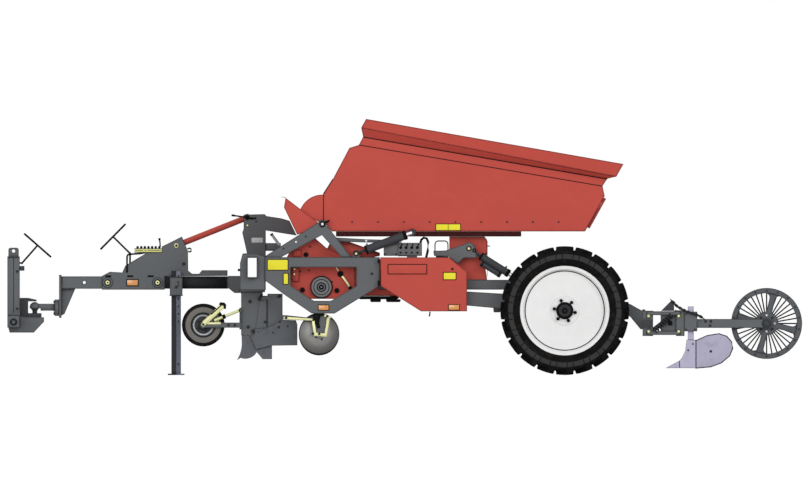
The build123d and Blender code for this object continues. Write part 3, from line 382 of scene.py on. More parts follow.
@dataclass(frozen=True)
class Rubber:
    """Tyre or belt rubber with a dull bloom, soil in its hollows and paler bands round its axle; on the main
    tyres that band is a painted highlight on the side wall's bulge.
    """

    colour: Colour
    slot: str
    soil: float = 0.1
    axle: Flat = (0, 0)
    bands: tuple[tuple[float, float, Colour], ...] = ()

    def build(self, name: str) -> bpy.types.Material:
        """Makes the material.

        Args:
            name: the material's name.

        Returns:
            The new material.
        """
        sheet = Sheet(name)
        bloom = sheet.noise(6, 5)
        grit = sheet.noise(90, 4)
        tone = sheet.blend(bloom.ramp(0.45, 0.8) * 0.3, self.colour, srgb(46, 45, 45))
        # paler bands round the axle: on the main tyres a painted highlight where the side wall bulges
        if self.bands:
            reach = sheet.from_axle(*self.axle)
            for inner, outer, colour in self.bands:
                beyond = reach.ramp(outer - 0.004, outer + 0.004)
                within = reach.ramp(inner - 0.004, inner + 0.004) * (1 - beyond)
                tone = sheet.blend(within, tone, colour)
        caked = sheet.noise(22, 6).ramp(0.52, 0.7) * grit.ramp(0.3, 0.7) * self.soil
        tone = sheet.blend(caked, tone, srgb(118, 99, 78))
        rough = 0.66 + bloom * 0.15 + caked * 0.2
        normal = sheet.bump(grit, 0.0006, 0.5)
        return sheet.close(Base_Color=tone, Roughness=rough, Normal=normal, Specular_IOR_Level=0.0)


@dataclass(frozen=True)
class Steel:
    """Bare, plated or scoured steel with drawn scratches, some tarnish, dark edges and, on dished discs, a
    painted shade that darkens it towards the rim.
    """

    colour: Colour
    tarnish: Colour
    slot: str
    rough: float = 0.3
    metal: float = 0.9
    spread: float = 0.5
    drawn: Point = (1, 1, 14)
    edge: float = 0.0
    axle: Flat = (0, 0)
    # span from the axle, in metres, over which a dished disc darkens: painted shade of the dish
    rim: Flat = (0, 0)

    def build(self, name: str) -> bpy.types.Material:
        """Makes the material.

        Args:
            name: the material's name.

        Returns:
            The new material.
        """
        sheet = Sheet(name)
        cloud = sheet.noise(3.2, 5)
        scratch = sheet.noise(60, 4, self.drawn)
        spots = sheet.noise(18, 6).ramp(0.52, 0.72) * self.spread
        tone = sheet.blend(cloud.ramp(0.3, 0.7) * self.spread + scratch * 0.12, self.colour, self.tarnish)
        tone = sheet.blend(spots, tone, self.tarnish)
        # painted shade of the dished disc, darker towards its rim, then a dark ring along its edge
        if self.rim[1]:
            reach = sheet.from_axle(*self.axle)
            tone = sheet.blend(reach.ramp(*self.rim) * 0.6, tone, PRIMER)
            tone = sheet.blend(reach.ramp(self.rim[1] - 0.016, self.rim[1] - 0.008), tone, PRIMER)
        rough = self.rough + scratch * 0.16 + spots * 0.25
        metal = self.metal - spots * 0.35
        if self.edge:
            dark = sheet.edges(self.edge)
            tone = sheet.blend(dark, tone, PRIMER)
            rough = rough + dark * 0.2
        return sheet.close(
            Base_Color=tone, Roughness=rough, Metallic=metal, Normal=sheet.bump(scratch, 0.0002, 0.4),
            Specular_IOR_Level=0.3,
        )


@dataclass(frozen=True)
class Reflex:
    """Reflector plastic with its prisms."""

    colour: Colour
    slot: str

    def build(self, name: str) -> bpy.types.Material:
        """Makes the material.

        Args:
            name: the material's name.

        Returns:
            The new material.
        """
        sheet = Sheet(name)
        prism = sheet.cells(210)
        deep = tuple(part * 0.72 for part in self.colour[:3]) + (1.0,)
        tone = sheet.blend(prism.ramp(0.2, 0.9), deep, self.colour)
        grime = sheet.noise(30, 5).ramp(0.55, 0.8) * 0.25
        tone = sheet.blend(grime, tone, DUST)
        return sheet.close(
            Base_Color=tone, Roughness=0.16 + grime, Normal=sheet.bump(prism, 0.0008, 0.4), Coat_Weight=0.8,
        )


class Finish(Enum):
    """Every finish of the machine, with the record's slot that its pieces take."""

    FRAME_GREY = Paint(srgb(101, 104, 107), "frame_grey")
    DARK_GREY = Paint(srgb(64, 66, 70), "frame_grey", edge=0.01)
    BEAM_DARK = Paint(srgb(40, 42, 46), "frame_grey")
    BOX_GREY = Paint(srgb(112, 114, 116), "box_grey", edge=0.007)
    PLATE_GREY = Paint(srgb(101, 104, 107), "frame_grey", edge=0.005)
    HUB_GREY = Paint(srgb(122, 124, 127), "frame_grey", edge=0.006)
    # the jack leg's pale colour is its painted lit face, painted_shade its painted face in shade
    LEG_GREY = LegPaint(srgb(150, 157, 172), "box_grey", edge=0.01, painted_shade=srgb(52, 54, 59))
    TUBE_GREY = Paint(srgb(186, 188, 192), "box_grey", edge=0.006)
    RED = Paint(srgb(193, 80, 70), "red_paint")
    PLATE_RED = Paint(srgb(193, 80, 70), "red_paint", edge=0.003)
    HOPPER_RED = Paint(srgb(193, 79, 69), "red_paint")
    DARK_RED = Paint(srgb(54, 8, 6), "dark_red_paint")
    YELLOW = Paint(srgb(240, 230, 60), "yellow_paint", wear=0.5, edge=0.004)
    RACK_YELLOW = Paint(srgb(226, 226, 146), "yellow_paint", edge=0.004)
    WHITE = Paint(srgb(242, 242, 242), "rim_white", wear=0.2, dust=0.04, edge=0.008)
    CARRIER_BLACK = Paint(srgb(30, 31, 32), "roller_steel", wear=0.5)
    CAGE = CagePaint(srgb(90, 93, 97), "roller_steel", rods=srgb(30, 30, 32))
    PLATE_BLANK = Paint(srgb(208, 210, 212), "box_grey", edge=0.004, dust=0.05)
    PLASTIC_BLACK = Rubber(srgb(24, 24, 25), "small_tyre", soil=0.03)
    # the main tyre's paler band from 0.5 to 0.546 m is a painted highlight on its side wall
    TYRE = Rubber(srgb(22, 22, 23), "tyre", axle=(1.544, 0.622), bands=((0.5, 0.546, srgb(60, 60, 61)),))
    SMALL_TYRE = Rubber(srgb(30, 30, 31), "small_tyre", axle=(-1.944, 0.483),
                        bands=((0.122, 0.172, srgb(118, 115, 111)),))
    BELT = Rubber(srgb(30, 30, 32), "small_tyre", soil=0.2)
    ZINC = Steel(srgb(226, 227, 172), srgb(178, 172, 118), "zinc", rough=0.36, metal=0.5, spread=0.25,
                 edge=0.006)
    BRIGHT = Steel(srgb(204, 206, 210), srgb(140, 138, 134), "rod_chrome", edge=0.003)
    BLACKENED = Steel(srgb(42, 43, 46), srgb(26, 26, 28), "roller_steel", rough=0.5, metal=0.3, spread=0.3)
    CHROME = Steel(srgb(226, 227, 230), srgb(190, 190, 194), "rod_chrome", rough=0.12, metal=1.0, spread=0.15)
    RIDGER = Steel(srgb(174, 170, 192), srgb(140, 137, 158), "ridger_steel", rough=0.34, metal=0.5,
                   spread=0.3, edge=0.011)
    OPENER = Steel(srgb(92, 95, 100), srgb(74, 76, 80), "opener_steel", rough=0.42, metal=0.4, spread=0.3,
                   edge=0.011)
    # the disc darkens towards its rim as a painted shade of its dish
    DISC = Steel(srgb(158, 158, 157), srgb(128, 126, 124), "disc_steel", rough=0.36, metal=0.6, spread=0.3,
                 drawn=(1, 1, 1), axle=(-0.826, 0.395), rim=(0.05, 0.2))
    ORANGE_REFLEX = Reflex(srgb(238, 160, 74), "yellow_paint")
    RED_REFLEX = Reflex(srgb(196, 40, 34), "red_paint")

    def material(self) -> bpy.types.Material:
        """The finish's material, made once."""
        name = f"finish_{self.name.lower()}"
        return bpy.data.materials.get(name) or self.value.build(name)


# The finish of each node of the frame that keeps its own shape
NODE_FINISHES = {
    Finish.FRAME_GREY: (
        "headstock", "gooseneck", "drawbar_cheeks", "tower", "crossbeam", "jack_sleeve", "side_frames",
        "hopper_supports", "main_rails", "cross_tubes", "cylinder_brackets", "wheel_arms", "gauge_arms",
        "opener_legs", "opener_linkages", "rear_toolbar", "roller_arms", "disc_arms", "ridger_linkages",
    ),
    Finish.DARK_GREY: ("ball_seat", "tip_barrels", "lift_barrels"),
    Finish.LEG_GREY: ("jack_leg",),
    Finish.BOX_GREY: ("hydraulic_box",),
    Finish.RED: ("tower_brace", "planting_units", "side_covers", "feed_tray", "rear_housing"),
    Finish.HOPPER_RED: ("hopper",),
    Finish.DARK_RED: ("hopper_rails",),
    Finish.WHITE: ("rim_left", "rim_right"),
    Finish.CAGE: tuple(f"cage_roller_{number}" for number in range(1, 5)),
    Finish.CARRIER_BLACK: ("hose_carrier_front", "hose_carrier_rear"),
    Finish.ZINC: ("gauge_depth_links",),
    Finish.CHROME: ("tip_rods", "lift_rods"),
    Finish.RIDGER: ("ridger_bodies",),
    Finish.OPENER: ("furrow_openers",),
    Finish.DISC: tuple(f"closing_disc_{number}" for number in range(1, 9)),
}


class Shape:
    """A mesh being built, in millimetres of the machine's own space."""

    def __init__(self) -> None:
        """Starts empty."""
        self.mesh = bmesh.new()

    def _faces(self, rings: list[list[bmesh.types.BMVert]], around: bool) -> None:
        """Joins neighbouring rings of points by four-sided faces.

        Args:
            rings: rings of like numbers of points.
            around: whether a ring closes.
        """
        for first, second in zip(rings, rings[1:]):
            count = len(first)
            for step in range(count if around else count - 1):
                after = (step + 1) % count
                self.mesh.faces.new((first[step], first[after], second[after], second[step]))

    def prism(self, outline: list[Flat], low: float, high: float) -> "Shape":
        """Upright plate across the machine.

        Args:
            outline: corners as (x, z).
            low: y of one face.
            high: y of the other face.

        Returns:
            The shape itself.
        """
        rings = [[self.mesh.verts.new((x, y, z)) for x, z in outline] for y in (low, high)]
        self._faces(rings, True)
        for ring in rings:
            self.mesh.faces.new(ring)
        return self

    def block(self, low: Point, high: Point) -> "Shape":
        """Upright block between two corners."""
        outline = [(low[0], low[2]), (high[0], low[2]), (high[0], high[2]), (low[0], high[2])]
        return self.prism(outline, low[1], high[1])

    def lathe(self, centre: Point, axis: Vector, profile: list[Flat], steps: int = 32,
              closed: bool = True) -> "Shape":
        """Turned piece.

        Args:
            centre: point on the axis from which the profile is measured.
            axis: direction of the axis.
            profile: points as (radius, distance along the axis).
            steps: faces round the axis.
            closed: whether the last point joins the first.

        Returns:
            The shape itself.
        """
        turn = Vector(axis).to_track_quat("Z", "Y").to_matrix()
        rings = []
        for radius, along in profile:
            ring = []
            for step in range(steps):
                angle = 2 * math.pi * step / steps
                local = Vector((radius * math.cos(angle), radius * math.sin(angle), along))
                ring.append(self.mesh.verts.new(Vector(centre) + turn @ local))
            rings.append(ring)
        if closed:
            rings.append(rings[0])
        self._faces(rings, True)
        return self

    def disc(self, centre: Point, axis: Vector, radius: float, depth: float, steps: int = 32,
             round_by: float = 1.5) -> "Shape":
        """Round boss with a chamfered edge, standing on centre."""
        profile = [(0, 0), (radius, 0), (radius, depth - round_by), (radius - round_by, depth), (0, depth)]
        return self.lathe(centre, axis, profile, steps, False)

    def bar(self, start: Point, end: Point, radius: float, steps: int = 14) -> "Shape":
        """Round bar between two points."""
        axis = Vector(end) - Vector(start)
        return self.disc(start, axis, radius, axis.length, steps, min(radius * 0.2, 2))

    def tube(self, path: list[Point], radius: float, steps: int = 10) -> "Shape":
        """Bent rod or hose along a path of points.

        Args:
            path: points along its middle.
            radius: its radius.
            steps: faces round it.

        Returns:
            The shape itself.
        """
        points = [Vector(point) for point in path]
        rings = []
        for place, point in enumerate(points):
            before = points[max(place - 1, 0)]
            after = points[min(place + 1, len(points) - 1)]
            turn = (after - before).to_track_quat("Z", "Y").to_matrix()
            ring = []
            for step in range(steps):
                angle = 2 * math.pi * step / steps
                local = Vector((radius * math.cos(angle), radius * math.sin(angle), 0))
                ring.append(self.mesh.verts.new(point + turn @ local))
            rings.append(ring)
        self._faces(rings, True)
        self.mesh.faces.new(rings[0])
        self.mesh.faces.new(rings[-1])
        return self

    def loft(self, sections: list[list[Point]]) -> "Shape":
        """Solid through a run of like sections, capped at both ends.

        Args:
            sections: corners of each section.

        Returns:
            The shape itself.
        """
        rings = [[self.mesh.verts.new(point) for point in section] for section in sections]
        self._faces(rings, True)
        self.mesh.faces.new(rings[0])
        self.mesh.faces.new(rings[-1])
        return self

    def hoop(self, sections: list[list[Point]]) -> "Shape":
        """Solid through a run of like sections of which the last meets the first.

        Args:
            sections: corners of each section.

        Returns:
            The shape itself.
        """
        rings = [[self.mesh.verts.new(point) for point in section] for section in sections]
        self._faces(rings + rings[:1], True)
        return self

    def mesh_data(self, name: str) -> bpy.types.Mesh:
        """The mesh in metres, its doubles merged and its faces outwards.

        Args:
            name: the mesh's name.

        Returns:
            The new mesh.
        """
        bmesh.ops.remove_doubles(self.mesh, verts=self.mesh.verts, dist=0.001)
        bmesh.ops.dissolve_degenerate(self.mesh, edges=self.mesh.edges, dist=0.0005)
        bmesh.ops.recalc_face_normals(self.mesh, faces=self.mesh.faces)
        bmesh.ops.scale(self.mesh, vec=(MM, MM, MM), verts=self.mesh.verts)
        data = bpy.data.meshes.new(name)
        self.mesh.to_mesh(data)
        self.mesh.free()
        return data

    def piece(self, name: str, finish: Finish, body: str, bevel: float = 0.0,
              smooth: float = 35) -> bpy.types.Object:
        """Ends the shape as a piece of the machine.

        Args:
            name: the piece's name.
            finish: its finish.
            body: the body that it rides on.
            bevel: width of its rounded edges in millimetres.
            smooth: angle in degrees below which faces shade as one.

        Returns:
            The finished object.
        """
        made = put(name, self.mesh_data(name))
        if bevel:
            rounded = made.modifiers.new("rounding", "BEVEL")
            rounded.width = bevel * MM
            rounded.segments = 2
            rounded.limit_method = "ANGLE"
            rounded.angle_limit = math.radians(40)
            bake_down(made)
        return settle(made, finish, body, smooth)


def bake_down(made: bpy.types.Object) -> None:
    """Turns an object's modifiers into a plain mesh.

    Args:
        made: the object.
    """
    bpy.context.view_layer.update()
    graph = bpy.context.evaluated_depsgraph_get()
    data = bpy.data.meshes.new_from_object(made.evaluated_get(graph))
    made.modifiers.clear()
    data.name = made.name
    made.data = data


def settle(made: bpy.types.Object, finish: Finish, body: str, smooth: float) -> bpy.types.Object:
    """Gives a finished object its material, shading and body.

    Args:
        made: the object.
        finish: its finish.
        body: the body that it rides on.
        smooth: angle in degrees below which faces shade as one.

    Returns:
        The object itself.
    """
    made.data.materials.clear()
    made.data.materials.append(finish.material())
    for polygon in made.data.polygons:
        polygon.material_index = 0
        polygon.use_smooth = True
    made.data.set_sharp_from_angle(angle=math.radians(smooth))
    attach(made, body)
    return made


class Repeater:
    """A Geometry Nodes tree that repeats a shape, with named inputs."""

    def __init__(self, name: str, inputs: dict[str, tuple[str, object]]) -> None:
        """Starts the tree.

        Args:
            name: the tree's name.
            inputs: each input's socket type and default, by name.
        """
        self.tree = bpy.data.node_groups.new(name, "GeometryNodeTree")
        side = self.tree.interface
        side.new_socket(name="Geometry", in_out="INPUT", socket_type="NodeSocketGeometry")
        self.names: dict[str, str] = {}
        for label, (kind, default) in inputs.items():
            socket = side.new_socket(name=label, in_out="INPUT", socket_type=kind)
            socket.default_value = default
            self.names[label] = socket.identifier
        side.new_socket(name="Geometry", in_out="OUTPUT", socket_type="NodeSocketGeometry")
        self.source = self.tree.nodes.new("NodeGroupInput")

    def node(self, kind: str, values: dict | None = None, **settings: object) -> bpy.types.Node:
        """Adds a node, as add_node does."""
        return add_node(self.tree, kind, values, **settings)

    def end(self, geometry: bpy.types.NodeSocket, finish: Finish) -> None:
        """Ends the tree in Realize Instances and Set Material.

        Args:
            geometry: what the tree makes.
            finish: its finish.
        """
        real = self.node("GeometryNodeRealizeInstances", {"Geometry": geometry})
        values = {"Geometry": real.outputs[0], "Material": finish.material()}
        painted = self.node("GeometryNodeSetMaterial", values)
        self.node("NodeGroupOutput", {0: painted.outputs[0]})

    def stand(self, shape: bpy.types.NodeSocket, finish: Finish) -> None:
        """Stands a shape at each point of the input, along the point's axis, and ends the tree.

        Args:
            shape: the shape's socket.
            finish: its finish.
        """
        axis = self.node("GeometryNodeInputNamedAttribute", {"Name": "axis"}, data_type="FLOAT_VECTOR")
        rotation = self.node("FunctionNodeAlignRotationToVector", {"Vector": axis.outputs[0]}, axis="Z")
        copies = self.node("GeometryNodeInstanceOnPoints", {
            "Points": self.source.outputs["Geometry"], "Instance": shape, "Rotation": rotation.outputs[0]})
        self.end(copies.outputs[0], finish)

    def run(self, made: bpy.types.Object, values: dict[str, object]) -> None:
        """Applies the tree to an object and leaves a plain mesh.

        Args:
            made: the object whose mesh is the tree's input.
            values: inputs, by name.
        """
        modifier = made.modifiers.new("repeat", "NODES")
        modifier.node_group = self.tree
        for label, value in values.items():
            modifier[self.names[label]] = value
        bake_down(made)


def ring_repeater(finish: Finish) -> Repeater:
    """Tree that repeats its input round a crosswise axle.

    Args:
        finish: finish of the copies.

    Returns:
        The tree.
    """
    made = Repeater(f"ring_{finish.name.lower()}", {
        "Count": ("NodeSocketInt", 6),
        "Start": ("NodeSocketFloat", 0.0),
        "Centre": ("NodeSocketVector", (0, 0, 0)),
    })
    given = made.source.outputs
    line = made.node("GeometryNodeMeshLine", {"Count": given["Count"], "Offset": (0, 0, 0)})
    index = made.node("GeometryNodeInputIndex").outputs[0]
    step = made.node("ShaderNodeMath", {0: 2 * math.pi, 1: given["Count"]}, operation="DIVIDE")
    turn = made.node("ShaderNodeMath", {
        0: index, 1: step.outputs[0], 2: given["Start"]}, operation="MULTIPLY_ADD")
    euler = made.node("ShaderNodeCombineXYZ", {"Y": turn.outputs[0]})
    rotation = made.node("FunctionNodeEulerToRotation", {0: euler.outputs[0]})
    copies = made.node("GeometryNodeInstanceOnPoints", {
        "Points": line.outputs[0], "Instance": given["Geometry"], "Rotation": rotation.outputs[0]})
    moved = made.node("GeometryNodeTransform", {
        "Geometry": copies.outputs[0], "Translation": given["Centre"]})
    made.end(moved.outputs[0], finish)
    return made


def line_repeater(finish: Finish) -> Repeater:
    """Tree that repeats its input along a straight step.

    Args:
        finish: finish of the copies.

    Returns:
        The tree.
    """
    made = Repeater(f"line_{finish.name.lower()}", {
        "Count": ("NodeSocketInt", 6),
        "Step": ("NodeSocketVector", (0, 0, 0)),
    })
    given = made.source.outputs
    line = made.node("GeometryNodeMeshLine", {"Count": given["Count"], "Offset": given["Step"]})
    copies = made.node("GeometryNodeInstanceOnPoints", {
        "Points": line.outputs[0], "Instance": given["Geometry"]})
    made.end(copies.outputs[0], finish)
    return made


def bolt_repeater(finish: Finish) -> Repeater:
    """Tree that stands a hexagon head on a washer at each point, along the point's axis.

    Args:
        finish: finish of the bolts.

    Returns:
        The tree.
    """
    made = Repeater(f"bolts_{finish.name.lower()}", {
        "Head radius": ("NodeSocketFloat", 0.012),
        "Head height": ("NodeSocketFloat", 0.01),
        "Washer radius": ("NodeSocketFloat", 0.016),
        "Washer height": ("NodeSocketFloat", 0.003),
    })
    given = made.source.outputs
    pieces = []
    lifted = 0.0
    for sides, radius, height in ((18, "Washer radius", "Washer height"), (6, "Head radius", "Head height")):
        made_one = made.node("GeometryNodeMeshCylinder", {
            "Vertices": sides, "Radius": given[radius], "Depth": given[height]})
        half = made.node("ShaderNodeMath", {
            0: given[height], 1: 0.5, 2: lifted}, operation="MULTIPLY_ADD")
        lift = made.node("ShaderNodeCombineXYZ", {"Z": half.outputs[0]})
        pieces.append(made.node("GeometryNodeTransform", {
            "Geometry": made_one.outputs[0], "Translation": lift.outputs[0]}))
        lifted = given[height]
    joined = made.node("GeometryNodeJoinGeometry")
    for piece in pieces:
        made.tree.links.new(piece.outputs[0], joined.inputs[0])
    made.stand(joined.outputs[0], finish)
    return made


def coil_repeater(finish: Finish) -> Repeater:
    """Tree that winds a spring at each point, along the point's axis.

    Args:
        finish: finish of the springs.

    Returns:
        The tree.
    """
    made = Repeater(f"coils_{finish.name.lower()}", {
        "Turns": ("NodeSocketFloat", 8.0),
        "Coil radius": ("NodeSocketFloat", 0.03),
        "Wire radius": ("NodeSocketFloat", 0.005),
        "Length": ("NodeSocketFloat", 0.2),
    })
    given = made.source.outputs
    spiral = made.node("GeometryNodeCurveSpiral", {
        "Resolution": 14, "Rotations": given["Turns"], "Start Radius": given["Coil radius"],
        "End Radius": given["Coil radius"], "Height": given["Length"]})
    wire = made.node("GeometryNodeCurvePrimitiveCircle", {"Resolution": 7, "Radius": given["Wire radius"]})
    coil = made.node("GeometryNodeCurveToMesh", {
        "Curve": spiral.outputs[0], "Profile Curve": wire.outputs[0], "Fill Caps": True})
    made.stand(coil.outputs[0], finish)
    return made


def chain_repeater(finish: Finish) -> Repeater:
    """Tree that lays links along the path that it is given, each turned square to the last.

    Args:
        finish: finish of the chain.

    Returns:
        The tree.
    """
    made = Repeater(f"chain_{finish.name.lower()}", {
        "Links": ("NodeSocketInt", 14),
        "Link radius": ("NodeSocketFloat", 0.012),
        "Wire radius": ("NodeSocketFloat", 0.004),
    })
    given = made.source.outputs
    path = made.node("GeometryNodeMeshToCurve", {"Mesh": given["Geometry"]})
    spaced = made.node("GeometryNodeResampleCurve", {"Curve": path.outputs[0], "Count": given["Links"]})
    tangent = made.node("GeometryNodeInputTangent").outputs[0]
    along = made.node("FunctionNodeAlignRotationToVector", {"Vector": tangent}, axis="X")
    index = made.node("GeometryNodeInputIndex").outputs[0]
    quarter = made.node("ShaderNodeMath", {0: index, 1: math.pi / 2}, operation="MULTIPLY")
    roll = made.node("FunctionNodeAxisAngleToRotation", {"Axis": (1, 0, 0), "Angle": quarter.outputs[0]})
    turned = made.node("FunctionNodeRotateRotation", {
        "Rotation": along.outputs[0], "Rotate By": roll.outputs[0]}, rotation_space="LOCAL")
    circle = made.node("GeometryNodeCurvePrimitiveCircle", {"Resolution": 12, "Radius": given["Link radius"]})
    wire = made.node("GeometryNodeCurvePrimitiveCircle", {"Resolution": 6, "Radius": given["Wire radius"]})
    ring = made.node("GeometryNodeCurveToMesh",
                     {"Curve": circle.outputs[0], "Profile Curve": wire.outputs[0]})
    link = made.node("GeometryNodeTransform", {"Geometry": ring.outputs[0], "Scale": (1.5, 0.85, 1)})
    copies = made.node("GeometryNodeInstanceOnPoints", {
        "Points": spaced.outputs[0], "Instance": link.outputs[0], "Rotation": turned.outputs[0]})
    made.end(copies.outputs[0], finish)
    return made


def marks(name: str, places: list[tuple[Point, Vector]]) -> bpy.types.Object:
    """Points in millimetres with the axis of what stands on each.

    Args:
        name: the object's name.
        places: each point and its axis.

    Returns:
        The object with the points.
    """
    data = bpy.data.meshes.new(name)
    data.from_pydata([Vector(place) * MM for place, _ in places], [], [])
    axes = data.attributes.new("axis", "FLOAT_VECTOR", "POINT")
    axes.data.foreach_set("vector", [part for _, axis in places for part in Vector(axis).normalized()])
    return put(name, data)


class BoltSize(Enum):
    """Head radius, head height, washer radius and washer height, in millimetres."""

    M8 = (7.5, 5.5, 9, 1.6)
    M12 = (11, 8, 13, 2.5)
    M16 = (14, 10, 17, 3)
    M20 = (17.5, 13, 20, 3.5)


@dataclass
class Fasteners:
    """Bolt heads gathered by body, size and finish, made together at the end."""

    places: dict[tuple[str, BoltSize, Finish], list[tuple[Point, Vector]]] = field(default_factory=dict)

    def add(self, body: str, size: BoltSize, place: Point, axis: Vector,
            finish: Finish = Finish.BLACKENED) -> None:
        """Asks for one bolt head.

        Args:
            body: the body that it rides on.
            size: the bolt's size.
            place: where its washer stands.
            axis: the way that the head faces.
            finish: its finish.
        """
        self.places.setdefault((body, size, finish), []).append((place, Vector(axis)))

    def flank(self, body: str, size: BoltSize, spots: list[Flat], out: float,
              finish: Finish = Finish.BLACKENED, middle: float = 0) -> None:
        """Bolts on both sides of an upright plane along the machine, which face away from it.

        Args:
            body: the body that they ride on.
            size: the bolts' size.
            spots: their places as (x, z).
            out: how far from the plane they stand.
            finish: their finish.
            middle: y of the plane.
        """
        for side in SIDES:
            for x, z in spots:
                self.add(body, size, (x, middle + side * out, z), side * ACROSS, finish)

    def build(self) -> None:
        """Makes one mesh for each body, size and finish."""
        trees = {finish: bolt_repeater(finish) for finish in {key[2] for key in self.places}}
        for (body, size, finish), places in self.places.items():
            name = f"bolts_{size.name.lower()}_{finish.name.lower()}_{body}"
            made = marks(name, places)
            labels = ("Head radius", "Head height", "Washer radius", "Washer height")
            trees[finish].run(made, {label: part * MM for label, part in zip(labels, size.value)})
            settle(made, finish, body, 20)
        log.info("bolts: %d in %d sets", sum(map(len, self.places.values())), len(self.places))


def repeat(made: Repeater, shape: Shape, name: str, values: dict[str, object], finish: Finish, body: str,
           smooth: float = 35) -> bpy.types.Object:
    """Repeats a shape by a tree and ends it as a piece.

    Args:
        made: the tree.
        shape: what it repeats.
        name: the piece's name.
        values: the tree's inputs, by name.
        finish: its finish.
        body: the body that it rides on.
        smooth: angle in degrees below which faces shade as one.

    Returns:
        The finished piece.
    """
    piece = put(name, shape.mesh_data(name))
    made.run(piece, values)
    return settle(piece, finish, body, smooth)


def join(name: str, pieces: list[bpy.types.Object]) -> bpy.types.Object:
    """Joins pieces of one body and one finish into the first.

    Args:
        name: name of the joined piece.
        pieces: the pieces.

    Returns:
        The joined piece.
    """
    mesh = bmesh.new()
    for piece in pieces:
        mesh.from_mesh(piece.data)
    first = pieces[0]
    mesh.to_mesh(first.data)
    mesh.free()
    for piece in pieces[1:]:
        bpy.data.objects.remove(piece)
    first.name = name
    first.data.set_sharp_from_angle(angle=math.radians(35))
    return first


@dataclass
class CadFinishes:
    """Puts a finish on every node that keeps its shape."""

    finishes: dict[Finish, tuple[str, ...]] = field(default_factory=lambda: NODE_FINISHES)

    def dress(self) -> None:
        """Assigns the materials to the nodes' own slots."""
        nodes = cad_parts
        done = 0
        for finish, names in self.finishes.items():
            for name in names:
                for slot in nodes[name].material_slots:
                    slot.material = finish.material()
                done += 1
        log.info("finishes on %d nodes", done)


@dataclass
class Assembly:
    """What every sub-assembly has: the machine's bolt heads, to which it adds its own."""

    bolts: Fasteners


